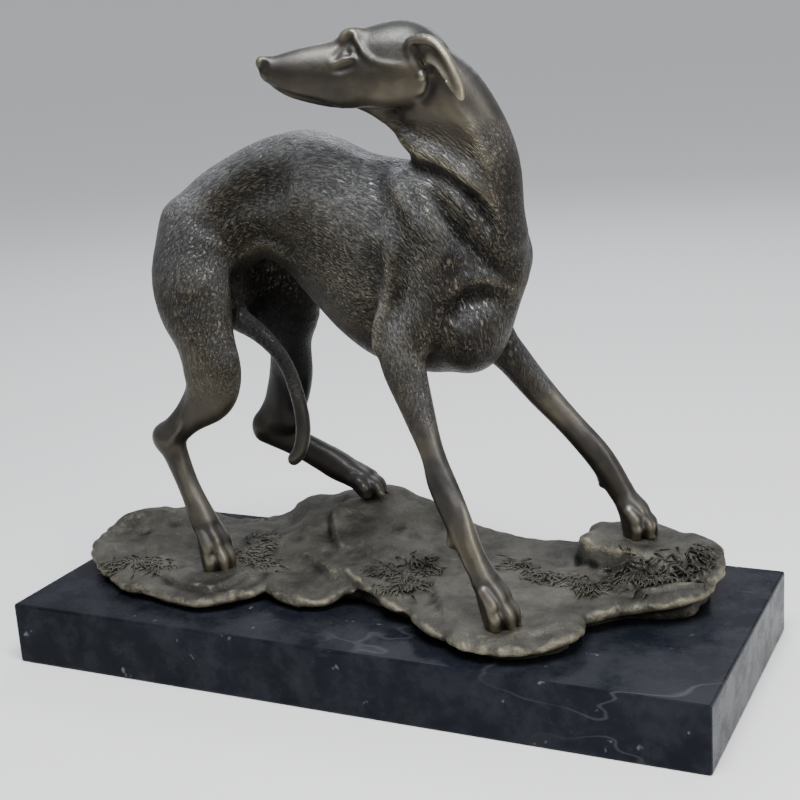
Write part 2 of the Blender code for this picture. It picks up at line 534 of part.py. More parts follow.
def head(clay):
    ahead = np.array((-0.87, -0.43, 0.0))
    side = np.array((0.43, -0.87, 0.0))
    clay.press(egg((28, -13, 261), (20, 13, 15.8), ahead, side), 4.0)
    clay.press(sweep([(31, -12, 257, 12.5, 18), (15, -19.5, 257, 12, 17.5), (4, -25, 255, 10.3, 15.2),
                      (-10.7, -32.5, 256, 7.8, 11.8), (-18, -36, 257.3, 6.4, 9.2),
                      (-23.5, -38.8, 259, 4.8, 6)],
                     side), 3.0)
    clay.press(egg((-26.2, -40.2, 262), (3.2, 3.8, 3.2), ahead, side), 1.5)
    clay.press(egg((28, -20, 251), (15, 7.5, 10), ahead, side), 7.0)  # the near cheek
    middle = np.array((28.0, -13.0, 0.0))
    for mirror in (False, True):
        face_side(clay, ahead, side, middle, mirror)


def face_side(clay, ahead, side, middle, mirror):
    """The brow, eye, ear and lines of one side. The far side mirrors the near one in the head's plane."""
    def place(x, y, z):
        point = np.array((x, y, z), float)
        return point - 2 * mirror * np.dot(point - middle, side) * side

    clay.press(egg(place(12, -26, 270.6), (6, 3.4, 4.4), ahead, side), 3.0)
    for height, width, spots in FACE_FOLDS:
        clay.fold(height, width, [place(*spot) for spot in spots])
    clay.press(egg(place(12.8, -28.2, 265), (2.3, 2.2, 2.2), ahead, side), 0.6)
    ear = [(37, -20, 260, 3.0, 5), (41, -21.5, 263.3, 3.0, 6.6), (46.5, -23.5, 263.6, 2.8, 6.4),
           (52.4, -25, 260, 2.5, 5), (56.8, -26, 254.2, 2.2, 4.2), (60.5, -26.6, 247.5, 1.9, 3.4),
           (62.6, -27, 242.6, 1.3, 1.7)]
    clay.press(sweep([(*place(x, y, z), w, d) for x, y, z, w, d in ear], side), 1.5)
    hollow = [(x - 0.6, y - 2.6, z - 1.8, w - 0.7, d - 1.7) for x, y, z, w, d in ear[1:6]]
    clay.carve(sweep([(*place(x, y, z), w, d) for x, y, z, w, d in hollow], side), 0.8)
    for x, z, size in ((38, 256, 2.6), (42, 252, 1.8), (44.5, 258, 1.5)):
        clay.press(egg(place(x, -21.5, z), (size, 1.8, 1.3 * size), ahead, side), 1.0)


def greyhound(clay):
    trunk(clay)
    hind_leg_far(clay)
    hind_leg_near(clay)
    tail(clay)
    foreleg_far(clay)
    foreleg_near(clay)
    neck(clay)
    head(clay)
    folds(clay)


def skin(clay):
    """The corners and four-sided faces of the clay's surface, with a corner in each cell that it crosses."""
    value = clay.value
    inside = value < 0
    shape = np.array(value.shape) - 1
    spots = [(i, j, k) for i in (0, 1) for j in (0, 1) for k in (0, 1)]

    def shifted(array, spot):
        return array[tuple(slice(s, s + n) for s, n in zip(spot, shape))]

    count = sum(shifted(inside, s).astype(np.int8) for s in spots)
    crossed = (count > 0) & (count < 8)
    cells = np.argwhere(crossed)
    number = np.full(shape, -1, np.int64)
    number[crossed] = np.arange(len(cells))
    at = {s: shifted(value, s)[crossed] for s in spots}
    total = np.zeros((len(cells), 3))
    hits = np.zeros(len(cells))
    for a in spots:
        for axis in range(3):
            if a[axis]:
                continue
            b = tuple(1 if n == axis else a[n] for n in range(3))
            cut = (at[a] < 0) != (at[b] < 0)
            t = at[a][cut] / (at[a][cut] - at[b][cut])
            spot = np.tile(np.array(a, float), (cut.sum(), 1))
            spot[:, axis] = t
            total[cut] += spot
            hits[cut] += 1
    origin = np.array([a[0] for a in clay.axes])
    corners = origin + clay.step * (cells + total / hits[:, None])

    faces = []
    for axis in range(3):
        ahead = tuple(slice(1, None) if n == axis else slice(None) for n in range(3))
        behind = tuple(slice(None, -1) if n == axis else slice(None) for n in range(3))
        changes = np.argwhere(inside[ahead] != inside[behind])
        leaves = inside[behind][tuple(changes.T)]
        p, q = (axis + 1) % 3, (axis + 2) % 3
        around = []
        for dp, dq in ((0, 0), (-1, 0), (-1, -1), (0, -1)):
            cell = changes.copy()
            cell[:, p] += dp
            cell[:, q] += dq
            around.append(number[tuple(cell.T)])
        quads = np.stack(around, axis=1)
        faces.append(np.where(leaves[:, None], quads, quads[:, ::-1]))
    return corners, np.concatenate(faces)


def mend(clay):
    """Fills the cells where two walls of the skin would share an edge, so that the mesh stays closed."""
    for _ in range(8):
        corners, faces = skin(clay)
        ends = np.concatenate([faces[:, [a, (a + 1) % 4]] for a in range(4)])
        edges, uses = np.unique(np.sort(ends, axis=1), axis=0, return_counts=True)
        shared = np.unique(edges[uses > 2])
        if not len(shared):
            return corners, faces
        origin = np.array([a[0] for a in clay.axes])
        for cell in np.floor((corners[shared] - origin) / clay.step).astype(int):
            box = tuple(slice(c, c + 2) for c in cell)
            clay.value[box] = np.minimum(clay.value[box], -0.05 * clay.step)
    return corners, faces


def largest_piece(corners, faces):
    """Leaves out any crumb of the skin that hangs free of the casting."""
    label = np.arange(len(corners))
    ends = np.concatenate([faces[:, [0, 1]], faces[:, [1, 2]], faces[:, [2, 3]]])
    while True:
        low = np.minimum(label[ends[:, 0]], label[ends[:, 1]])
        new = label.copy()
        np.minimum.at(new, ends[:, 0], low)
        np.minimum.at(new, ends[:, 1], low)
        new = new[new]
        if (new == label).all():
            break
        label = new
    names, sizes = np.unique(label, return_counts=True)
    keep = label == names[sizes.argmax()]
    renumber = np.cumsum(keep) - 1
    return corners[keep], renumber[faces[keep[faces[:, 0]]]]


def bronze():
    made = bpy.data.materials.new("brown_patina_bronze")
    made.use_nodes = True
    shader = made.node_tree.nodes["Principled BSDF"]
    shader.inputs["Base Color"].default_value = (0.085, 0.072, 0.050, 1)
    shader.inputs["Metallic"].default_value = 0.85
    shader.inputs["Roughness"].default_value = 0.42
    return made


def black_marble():
    made = bpy.data.materials.new("black_marble")
    made.use_nodes = True
    shader = made.node_tree.nodes["Principled BSDF"]
    shader.inputs["Base Color"].default_value = (0.018, 0.020, 0.026, 1)
    shader.inputs["Roughness"].default_value = 0.28
    return made


def add_object(name, mesh, material, location):
    made = bpy.data.objects.new(name, mesh)
    made.location = location
    mesh.materials.append(material)
    bpy.context.scene.collection.objects.link(made)
    return made


def add_plinth():
    shape = bmesh.new()
    bmesh.ops.create_cube(shape, size=1.0)
    bmesh.ops.scale(shape, vec=(PLINTH_LENGTH, PLINTH_WIDTH, PLINTH_HEIGHT), verts=shape.verts)
    mesh = bpy.data.meshes.new("plinth")
    shape.to_mesh(mesh)
    shape.free()
    made = add_object("plinth", mesh, black_marble(), (0, 0, PLINTH_HEIGHT / 2))
    bevel = made.modifiers.new("eased_edges", "BEVEL")
    bevel.width = PLINTH_BEVEL
    bevel.segments = 2
    return made


def add_casting():
    clay = Clay(BLOCK_LOW, BLOCK_HIGH, CLAY_STEP)
    ground(clay)
    greyhound(clay)
    # The flat underside.
    clay.value = np.maximum(clay.value, -clay.axes[2][None, None, :])
    corners, faces = largest_piece(*mend(clay))
    scale = FIGURE_HEIGHT / FIGURE_UNITS
    mesh = bpy.data.meshes.new("greyhound")
    mesh.from_pydata((corners * scale).tolist(), [], faces.tolist())
    mesh.shade_smooth()
    made = add_object("greyhound", mesh, bronze(), (0, 0, PLINTH_HEIGHT + SEAT_GAP))
    thin_out = made.modifiers.new("fewer_faces", "DECIMATE")
    thin_out.ratio = min(1.0, CASTING_TRIANGLES / (2 * len(faces)))
    return made


def main():
    for old in list(bpy.data.objects):
        bpy.data.objects.remove(old)
    add_plinth()
    add_casting()


main()
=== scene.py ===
"""Looks of the bronze greyhound on its marble plinth.

The casting is the same clay as the CAD's, on finer blocks: one for the dog, one each for its head and
paws, and one for the rock. Lengths of the casting are in figure units, a FIGURE_UNITS-th of FIGURE_HEIGHT,
measured from the middle of the plinth's top.
"""

import math

import bmesh
import bpy
import numpy as np
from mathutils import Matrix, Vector
from mathutils.bvhtree import BVHTree

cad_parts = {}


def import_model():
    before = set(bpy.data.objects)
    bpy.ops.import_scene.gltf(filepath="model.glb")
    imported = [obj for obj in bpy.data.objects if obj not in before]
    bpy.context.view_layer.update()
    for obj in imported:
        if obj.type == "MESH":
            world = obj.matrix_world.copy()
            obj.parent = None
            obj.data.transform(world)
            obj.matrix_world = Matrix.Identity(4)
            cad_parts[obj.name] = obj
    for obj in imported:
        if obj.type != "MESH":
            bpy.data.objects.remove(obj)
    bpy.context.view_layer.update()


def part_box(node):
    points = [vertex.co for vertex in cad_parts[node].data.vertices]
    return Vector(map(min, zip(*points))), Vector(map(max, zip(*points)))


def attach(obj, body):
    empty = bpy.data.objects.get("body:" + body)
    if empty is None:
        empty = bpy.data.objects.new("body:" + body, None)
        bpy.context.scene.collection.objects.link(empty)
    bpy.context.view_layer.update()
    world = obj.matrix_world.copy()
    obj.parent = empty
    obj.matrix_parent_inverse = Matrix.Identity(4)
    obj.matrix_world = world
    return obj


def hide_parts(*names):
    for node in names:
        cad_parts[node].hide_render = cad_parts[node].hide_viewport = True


# The gap under the casting and its height, in metres, and the figure units in that height.
SEAT_GAP = 0.0003
FIGURE_HEIGHT = 0.278
FIGURE_UNITS = 278.0
SCALE = FIGURE_HEIGHT / FIGURE_UNITS

# The camera stands where the photograph was taken from.
CAMERA_PLACE = (0.311, -0.610, 0.315)
CAMERA_TURN = (74.82, 3.63, 25.23)  # degrees, the middle one a slight roll
CAMERA_LENS = 65.5  # millimetres, as is the sensor's width
CAMERA_SENSOR = 36.0

UP = (0.0, 0.0, 1.0)
AWAY = (0.0, 1.0, 0.0)

# Blocks of clay: lowest corner, highest corner and side of a cell. The fine ones take over from the dog's.
DOG_BLOCK = ((-128.0, -62.0, 3.0), (132.0, 66.0, 284.0), 1.15)
FINE_BLOCKS = {
    "head": ((-38.0, -62.0, 232.0), (74.0, 34.0, 284.0), 0.6),
    "near_hind_paw": ((-108.0, -38.0, 3.0), (-68.0, -8.0, 36.0), 0.6),
    "far_hind_paw": ((-58.0, 30.0, 20.0), (-16.0, 60.0, 56.0), 0.6),
    "near_fore_paw": ((56.0, -66.0, 3.0), (98.0, -32.0, 42.0), 0.6),
    "far_fore_paw": ((98.0, 22.0, 18.0), (134.0, 56.0, 52.0), 0.6),
}
BLOCK_MARGIN = 7.0
BLOCK_OVERLAP = 0.8
SMOOTHING = 2  # how many times the clay is blurred before its skin is taken off
CREST_REACH = 6.0  # how far around a spot its level counts, where ridges are told from hollows
ROCK_BLOCK = ((-182.0, -74.0, -3.0), (168.0, 70.0, 48.0), 1.0)

CREASE_DROP = 2.5  # from a crease down to the deepest hollow beside it, against its height
# The height of each kind of crease and lump on the rock, and its lengths along X, Y and Z.
ROCK_CREASES = [(1.0, (24, 20, 24)), (0.6, (9, 9, 9))]
ROCK_ROUGHNESS = [(0.4, (12, 12, 12)), (0.3, (4, 4, 4)), (0.22, (2.2, 2.2, 2.2)), (0.5, (11, 11, 2.2))]

# The coat's strokes run round this place, x and z, and slant to either side of that in turn.
COAT_CENTRE = (-25.0, 120.0)
COAT_RADIUS = 90.0
STROKE_SCALE = (0.95, 0.24, 0.95)
STROKE_SLANTS = (0.35, -0.45)
# Where the coat fades in above the legs, and out on the neck and the head: a start and a length each.
LEG_FADE = (95, 40)
NECK_FADE_AHEAD = (30, 12)
NECK_FADE_UP = (190, 15)
NECK_SHARE = 0.6
HEAD_FADE = (222, 12)

# The place between the hind legs that gets painted shade: the bronze is darkened there, and its crests
# aren't rubbed to brass.
LEG_SHADE_CENTRE = (-62.0, 20.0, 95.0)
LEG_SHADE_REACH = (38.0, 34.0, 60.0)
LEG_SHADE_CORE = 0.6  # the share of that reach within which the painted shade is full and nothing is rubbed

# Tufts of grass: x, y, how far each spreads, its number of blades and the way that they lean, in degrees.
TUFTS = [
    (-140, -24, 8, 90, -60), (-124, -28, 8, 75, -30), (-147, -33, 7, 60, -120), (-84, -4, 8, 90, 30),
    (-68, -12, 8, 82, -20), (-80, 8, 8, 75, 60), (4, -9, 7, 90, -130), (18, -18, 8, 90, -80),
    (16, 2, 8, 75, -20), (14, -27, 6, 60, -100), (62, 18, 7, 82, -150), (78, 9, 8, 90, -60),
    (93, 7, 7, 75, -90), (103, 0, 6, 60, -70), (117, 13, 7, 90, -90), (129, 11, 8, 90, -60),
    (142, 18, 8, 90, -80), (148, 30, 6, 60, -30)]
TUFT_STRETCH = (1.3, 1.0)  # how much a tuft spreads along the plinth and across it
GRASS_SEED = 5
RAY_START = 0.08  # metres above the plinth, over all of the rock
BLADE_LENGTHS = (4.0, 8.5)
BLADE_LIFTS = (0.1, 0.8)
BLADE_FAN = 42.0  # how widely the blades of a tuft fan out, in degrees
BLADE_WIDTH = 0.6
BLADE_RIDGE = 0.8  # the height of a blade's ridge against half its width
BLADE_ARCH = 0.75  # how high a blade arches, against its lift
BLADE_FALL = 1.25  # where that arch would meet the ground again, against the blade's length
BLADE_SUNK = 0.06  # the share of a blade's length that its foot is sunk
BLADE_STATIONS = [(0.0, 0.9), (0.35, 1.0), (0.7, 0.7), (1.0, 0.2)]  # share of the length, and of the width
BLADE_CREST = np.repeat([-0.5, -0.1, 0.3, 0.8], 3)  # dark at the root and rubbed at the tip

# The floor: a flat disc, and the radius and height of each ring by which it curves up into a backdrop.
FLOOR_SIDES = 96
FLOOR_FLAT = 1.6
FLOOR_RISE = [(2.4, 0.02), (3.2, 0.10), (4.2, 0.30), (5.4, 0.75), (6.6, 1.6), (7.4, 2.6)]
FLOOR_COLOUR = (0.86, 0.85, 0.84, 1)
FLOOR_ROUGHNESS = 0.7
SKY_COLOUR = (0.90, 0.93, 1.0, 1)
SKY_STRENGTH = 0.55
# The lamps: name, place, what each points at, its two sides, its power and its colour.
LIGHTS = [
    ("top", (0.25, -0.45, 1.25), (0, 0, 0.1), (0.8, 0.6), 28, (0.95, 0.98, 1.0)),
    ("key", (1.2, -0.5, 0.6), (0, 0, 0.12), (0.5, 0.8), 8, (1.0, 0.98, 0.95)),
    ("rim", (-0.3, 1.2, 1.0), (0, 0, 0.2), (1.2, 0.5), 6, (0.93, 0.96, 1.0)),
]

DARK_BRONZE = (0.018, 0.016, 0.014, 1)
BROWN_BRONZE = (0.050, 0.042, 0.030, 1)
# Painted sky sheen: a pale cool colour laid on the bronze where its surface faces up, in place of the sky's
# reflection.
PAINTED_SKY_SHEEN = (0.29, 0.295, 0.305, 1)
RUBBED_BRONZE = (0.34, 0.30, 0.21, 1)
DEEP_BRONZE = (0.008, 0.008, 0.008, 1)
ROCK_DARK = (0.030, 0.028, 0.023, 1)
ROCK_GREY = (0.100, 0.094, 0.076, 1)
MARBLE_BLACK = (0.005, 0.006, 0.009, 1)
MARBLE_GREY = (0.009, 0.010, 0.015, 1)
MARBLE_DUST = (0.30, 0.31, 0.33, 1)
MARBLE_VEIN = (0.40, 0.41, 0.43, 1)
MARBLE_SPECK = (0.35, 0.36, 0.38, 1)


def smooth_path(stations, pieces):
    """A smooth curve through the stations, each a row of numbers, with this many pieces between two."""
    rows = np.array(stations, float)
    ends = np.vstack([2 * rows[0] - rows[1], rows, 2 * rows[-1] - rows[-2]])
    made = []
    for a, b, c, d in zip(ends, ends[1:], ends[2:], ends[3:]):
        for t in np.arange(pieces) / pieces:
            bend = (2 * a - 5 * b + 4 * c - d) * t**2 + (3 * b - a - 3 * c + d) * t**3
            made.append(0.5 * (2 * b + (c - a) * t + bend))
    return np.array(made + [rows[-1]], np.float32)


def dot(points, vector):
    return sum(p * v for p, v in zip(points, vector))


def nearest_on(path, place):
    """Each point's squared distance from a curve, how far along it lies, and on which side."""
    nearest = np.full(place[0].shape, 1e9, np.float32)
    along = np.zeros(place[0].shape, np.float32)
    side = np.zeros(place[0].shape, np.float32)
    for i, (start, run) in enumerate(zip(path, np.diff(path, axis=0))):
        off = [p - s for p, s in zip(place, start)]
        t = np.clip(dot(off, run) / (run @ run), 0, 1)
        far = sum((p - t * r) ** 2 for p, r in zip(off, run))
        closer = far < nearest
        nearest = np.where(closer, far, nearest)
        along = np.where(closer, (i + t) / (len(path) - 1), along)
        side = np.where(closer, run[0] * off[1] - run[1] * off[0], side)
    return nearest, along, side


def faded_ends(along):
    """From 0 at both ends of a curve to 1 at its middle."""
    return np.sqrt(np.sin(np.pi * along) + 1e-6)


def unit(vector):
    vector = np.array(vector, float)
    return vector / np.linalg.norm(vector)


class Clay:
    """A block of signed distances, negative inside. Forms are pressed on or carved out with a soft join."""

    def __init__(self, low, high, step):
        self.step = step
        self.axes = [np.arange(a, b + step, step, dtype=np.float32) for a, b in zip(low, high)]
        self.value = np.full([len(a) for a in self.axes], 40.0, np.float32)

    def window(self, low, high):
        """The slices of the block that hold a box, and the coordinates there."""
        cut = []
        for axis, a, b in zip(self.axes, low, high):
            cut.append(slice(max(0, np.searchsorted(axis, a) - 1), np.searchsorted(axis, b) + 1))
        points = [axis[c] for axis, c in zip(self.axes, cut)]
        return tuple(cut), np.meshgrid(*points, indexing="ij")

    def press(self, form, soft=4.0):
        self.join(form, soft, 1.0)

    def carve(self, form, soft=2.0):
        self.join(form, soft, -1.0)

    def join(self, form, soft, sign):
        """A smooth minimum with the form (sign 1), or with its opposite from the other side (sign -1)."""
        distance, low, high = form
        margin = soft + 2 * self.step
        cut, points = self.window(np.array(low) - margin, np.array(high) + margin)
        old = sign * self.value[cut]
        new = distance(*points)
        share = np.clip(0.5 + 0.5 * (old - new) / soft, 0, 1)
        self.value[cut] = sign * (old + (new - old) * share - soft * share * (1 - share))

    def fold(self, height, width, spots):
        """Raises the skin near a curve by up to this height, or lowers it, within about this width."""
        path = smooth_path(spots, 3)
        reach = 2.4 * width
        cut, points = self.window(path.min(0) - reach, path.max(0) + reach)
        nearest, along, _ = nearest_on(path, points)
        self.value[cut] -= height * faded_ends(along) * np.exp(-nearest / width**2)


def sweep(stations, side=AWAY, pieces=4):
    """A limb along a curve. A station is x, y, z, half its width along side and half its depth."""
    path = smooth_path(stations, pieces)
    spots, half = path[:, :3], path[:, 3:5]
    reach = half.max() + 1
    runs = np.diff(spots, axis=0)
    tangents = runs / np.linalg.norm(runs, axis=1, keepdims=True)
    sides = np.array(side, np.float32) - (tangents @ np.array(side, np.float32))[:, None] * tangents
    sides /= np.linalg.norm(sides, axis=1, keepdims=True)
    depths = np.cross(tangents, sides)

    def distance(x, y, z):
        nearest = np.full(x.shape, 1e9, np.float32)
        made = np.full(x.shape, 1e9, np.float32)
        for i, run in enumerate(runs):
            off = [p - s for p, s in zip((x, y, z), spots[i])]
            t = np.clip(dot(off, run) / (run @ run), 0, 1)
            off = [p - t * r for p, r in zip(off, run)]
            far = dot(off, off)
            closer = far < nearest
            nearest = np.where(closer, far, nearest)
            w = half[i, 0] + t * (half[i + 1, 0] - half[i, 0])
            d = half[i, 1] + t * (half[i + 1, 1] - half[i, 1])
            e = np.minimum(w, d)
            u = dot(off, sides[i]) / w
            v = dot(off, depths[i]) / d
            s = dot(off, tangents[i]) / e
            k = np.sqrt(u * u + v * v + s * s)
            g = np.sqrt((u / w) ** 2 + (v / d) ** 2 + (s / e) ** 2) + 1e-6
            made = np.where(closer, k * (k - 1) / g, made)
        return made

    return distance, spots.min(0) - reach, spots.max(0) + reach


def egg(centre, radii, ahead=(1, 0, 0), side=AWAY):
    """An ellipsoid. Its three radii lie along ahead, along side and across both."""
    a = unit(ahead)
    s = unit(np.array(side, float) - np.dot(side, a) * a)
    axes = np.array([a, s, np.cross(a, s)], np.float32)
    radii = np.array(radii, np.float32)

    def distance(x, y, z):
        off = [p - c for p, c in zip((x, y, z), centre)]
        scaled = [dot(off, axis) / r for axis, r in zip(axes, radii)]
        k = np.sqrt(sum(q * q for q in scaled))
        g = np.sqrt(sum((q / r) ** 2 for q, r in zip(scaled, radii))) + 1e-6
        return k * (k - 1) / g

    reach = radii.max()
    return distance, np.array(centre) - reach, np.array(centre) + reach


def barrel(stations):
    """A trunk along X. A station is x, the heights of its top and bottom, half its width and its y."""
    path = smooth_path(stations, 4)
    low = (path[0, 0], (path[:, 4] - path[:, 3]).min(), path[:, 2].min())
    high = (path[-1, 0], (path[:, 4] + path[:, 3]).max(), path[:, 1].max())

    def distance(x, y, z):
        along = x[:, :1, :1]
        top, bottom, half, middle = (np.interp(along, path[:, 0], path[:, n]) for n in (1, 2, 3, 4))
        tall = (top - bottom) / 2
        u, v = (y - middle) / half, (z - bottom - tall) / tall
        k = np.sqrt(u * u + v * v)
        round_the_axis = k * (k - 1) / (np.sqrt((u / half) ** 2 + (v / tall) ** 2) + 1e-6)
        return np.maximum(round_the_axis, np.abs(x - (low[0] + high[0]) / 2) - (high[0] - low[0]) / 2)

    return distance, low, high


def outline_distance(outline, x, y):
    """The signed distance from a closed outline in the plane, negative inside."""
    around = list(outline[-1:]) + list(outline) + list(outline[:2])
    corners = smooth_path(around, 5)[5:-5, :2]
    nearest = np.full(x.shape, 1e9, np.float32)
    inside = np.zeros(x.shape, bool)
    for (ax, ay), (bx, by) in zip(corners, corners[1:]):
        dx, dy = bx - ax, by - ay
        t = np.clip(((x - ax) * dx + (y - ay) * dy) / (dx * dx + dy * dy + 1e-9), 0, 1)
        nearest = np.minimum(nearest, (x - ax - t * dx) ** 2 + (y - ay - t * dy) ** 2)
        crossed = ((ay > y) != (by > y)) & (x < ax + (y - ay) * dx / (dy if dy else 1e-9))
        inside ^= crossed
    return np.where(inside, -1, 1) * np.sqrt(nearest)


# The rock: its rim seen from above, and its height at places on it.
ROCK_RIM = [
    (-176, 4), (-172, -12), (-163, -26), (-141, -43), (-124, -50), (-108, -54), (-94, -57), (-82, -58),
    (-72, -54), (-64, -46), (-58, -37), (-55, -30), (-51, -34), (-44, -38), (-36, -40), (-27, -40),
    (-20, -36), (-15, -29), (-10, -27), (5, -33), (16, -38), (27, -43), (38, -50), (50, -59), (70, -67),
    (82, -68), (94, -66), (103, -60), (110, -53), (113, -43), (110, -33), (109, -27), (118, -18),
    (124, -12), (132, -9), (146, -6), (154, 2), (158, 12), (160, 26), (156, 40), (148, 48), (136, 53),
    (120, 55), (104, 54), (84, 51), (66, 52), (40, 52), (18, 55), (0, 58), (-10, 61), (-28, 63.5),
    (-44, 61), (-56, 58), (-68, 52), (-80, 47), (-110, 44), (-145, 40), (-160, 34), (-171, 22)]
ROCK_HEIGHTS = [
    (-172, 0, 11), (-167, 17, 16.5), (-153, 26, 17), (-138, 25, 13), (-152, 2, 9.5), (-150, -26, 8),
    (-128, -42, 7), (-100, -48, 7), (-78, -50, 7.5), (-120, -20, 8.5), (-95, -30, 8.5), (-85, -25, 9),
    (-66, -42, 8), (-60, -25, 9), (-110, 36, 10.5), (-85, 32, 13), (-40, -34, 6), (-25, -32, 7),
    (-42, -18, 9), (-30, -12, 11.5), (-10, -18, 12), (10, -28, 11.5), (30, -38, 11), (20, 0, 12),
    (50, 0, 11.5), (50, 40, 12.5), (75, 30, 11.5), (10, 40, 16), (-28, 60, 31), (-30, 45, 29),
    (-50, 54, 29), (-45, 34, 25), (-25, 25, 22), (-12, 52, 26), (-34, 12, 16), (-4, 25, 17),
    (-64, 50, 25), (60, -55, 9), (85, -60, 9.5), (106, -46, 11), (80, -40, 9.5), (50, -40, 10.5),
    (100, -15, 9.5), (120, -5, 10), (88, 4, 10.5), (84, 20, 11), (82, 42, 12), (97, 34, 25),
    (112, 28, 24.5), (130, 28, 24.5), (146, 36, 24.5), (140, 47, 25.5), (115, 50, 27), (98, 48, 26),
    (110, 8, 11), (130, 10, 13), (150, 13, 14), (158, 30, 18)]
ROCK_LEDGE = 1.6  # how far the lip stands out past the rim
ROCK_LIP = 2.6
ROCK_RECESS = 8.0
ROCK_ROLL = 1.2
ROCK_SOFT = 1.6  # how softly its top runs over into its side
ROCK_SWELL = 0.6  # how far the surface rises and falls between its places
# The depth and the length of each wave along the broken rim.
ROCK_CHIPS = [(0.5, 43.0), (0.5, 19.0), (0.4, 8.5)]
PAW_SIZE = 1.25  # how broad the paws are, against the end of a plain leg

LEDGE_SOFT = 1.2  # how softly the surface steps down over a ledge's edge
LEDGE_HOLLOW = 0.4  # how deep the foot of a ledge sinks, against its rise, and how far from the edge
LEDGE_HOLLOW_REACH = 3.0
# Ledges of the rock: how far the edge stands up, how far back that fades, and the edge from above.
LEDGES = [
    # the front of the left slab
    (3.2, 8.0, [(-124, -34), (-111, -39), (-97, -47), (-85, -49), (-76, -49), (-71, -34), (-66, -21)]),
    # over the chip in front
    (4.0, 8.0, [(-53, -2), (-40, -8), (-25, -20), (-16, -21), (-2, -30), (11, -37)]),
    # the cleft before the far hind paw
    (5.2, 14.0, [(-46, 45), (-47, 32), (-45, 22), (-39, 13), (-29, 0)]),
    # the left edge of the tongue
    (2.4, 7.0, [(24, -5), (34, -24), (42, -37), (51, -50)]),
    # the cliff of the right mound
    (6.0, 9.0, [(89, 53), (85, 41), (89, 28), (100, 20), (114, 17), (130, 18)]),
    # an upper layer on the right
    (3.2, 5.0, [(100, 10), (116, 6), (132, 7), (146, 12), (154, 22), (156, 36)]),
    # a lower layer on the right
    (3.0, 5.0, [(112, -4), (124, -2), (138, 0), (149, 5), (156, 14), (158, 26)]),
]


def rock_height(x, y):
    """The height of the rock's surface: smooth between its places, and stepped up along its ledges."""
    total = np.zeros(x.shape, np.float32)
    weight = np.zeros(x.shape, np.float32)
    for a, b, height in ROCK_HEIGHTS:
        share = 1 / ((x - a) ** 2 + (y - b) ** 2 + 50) ** 2
        total += share * height
        weight += share
    surface = total / weight + ROCK_SWELL * np.sin(0.13 * x + 1.0) * np.cos(0.17 * y)
    for rise, fade, edge in LEDGES:
        surface += ledge(x, y, rise, fade, edge)
    return surface


def chips(x, y):
    """The unevenness of the broken rim: shorter and shorter waves, each bent by the one before."""
    total = np.zeros(x.shape, np.float32)
    bend = 1.0
    for depth, length in ROCK_CHIPS:
        turn = 2 * np.pi / length
        wave = np.sin(turn * x + bend) * np.cos(1.13 * turn * y - 0.7 * bend)
        total += depth * wave
        bend = 2.0 * wave + length
    return total


def ledge(x, y, rise, fade, edge):
    """A step along a line. The side on its left stands up by rise at the line, and ever less behind it."""
    nearest, along, side = nearest_on(smooth_path(edge, 4), (x, y))
    far = np.sqrt(nearest)
    above = rise * np.exp(-far / fade)
    below = -LEDGE_HOLLOW * rise * np.exp(-far / LEDGE_HOLLOW_REACH)
    share = np.clip(0.5 + 0.5 * np.sign(side) * far / LEDGE_SOFT, 0, 1)
    return faded_ends(along) * (below + (above - below) * share)


def rock():
    """The whole rock down to the plinth. Its rim rolls over to a lip, and its foot draws in below that."""
    corners = np.array(ROCK_RIM, float)

    def distance(x, y, z):
        flat_x, flat_y = x[:, :, 0], y[:, :, 0]
        edge = outline_distance(ROCK_RIM, flat_x, flat_y) - ROCK_LEDGE
        edge = edge + chips(flat_x, flat_y)
        surface = rock_height(flat_x, flat_y) - ROCK_ROLL * np.clip(1 + edge / 6, 0, 1) ** 2
        below = surface[:, :, None] - z
        wall = edge[:, :, None] + ROCK_RECESS * np.clip((below - ROCK_LIP) / 4, 0, 1) ** 1.5
        steep = np.gradient(surface, flat_x[:, 0], flat_y[0])
        under = -below / np.sqrt(1.1 + steep[0] ** 2 + steep[1] ** 2)[:, :, None]
        share = np.clip(0.5 + 0.5 * (wall - under) / ROCK_SOFT, 0, 1)
        return under + (wall - under) * share + ROCK_SOFT * share * (1 - share)

    reach = ROCK_LEDGE + 2
    low = (corners[:, 0].min() - reach, corners[:, 1].min() - reach, -4.0)
    return distance, low, (corners[:, 0].max() + reach, corners[:, 1].max() + reach, 44.0)


ROCK_FOLDS = [
    # the raised rim at the left
    (2.5, 4.5, [(-173, -6, 11), (-172, 6, 14), (-163, 18, 17), (-150, 24, 17), (-138, 24, 13)]),
    # inside that rim
    (-2.0, 4.5, [(-161, -15, 10), (-170, 2, 11), (-162, 7, 13), (-151, 8, 10)]),
    # the lip by the hind paw
    (1.6, 2.5, [(-77, -51, 8), (-74, -43, 8), (-71, -32, 8), (-67, -24, 9), (-64, -21, 9)]),
    # under the lip
    (-3.0, 3.5, [(-65, -41, 8), (-62, -34, 8), (-59, -29, 9), (-61, -20, 9)]),
    # the lip of the tongue
    (2.2, 2.4, [(50, -55, 9), (68, -62, 9), (83, -62, 10), (93, -52, 10), (104, -43, 11), (110, -25, 9)]),
    # the brassy ridge on the right
    (2.2, 2.6, [(112, -26, 8), (118, -19, 9), (121, -10, 10), (121, 2, 10), (124, 6, 12)]),
]


def ground(clay):
    clay.press(rock(), 1.0)
    for height, width, spots in ROCK_FOLDS:
        clay.fold(height, width, spots)


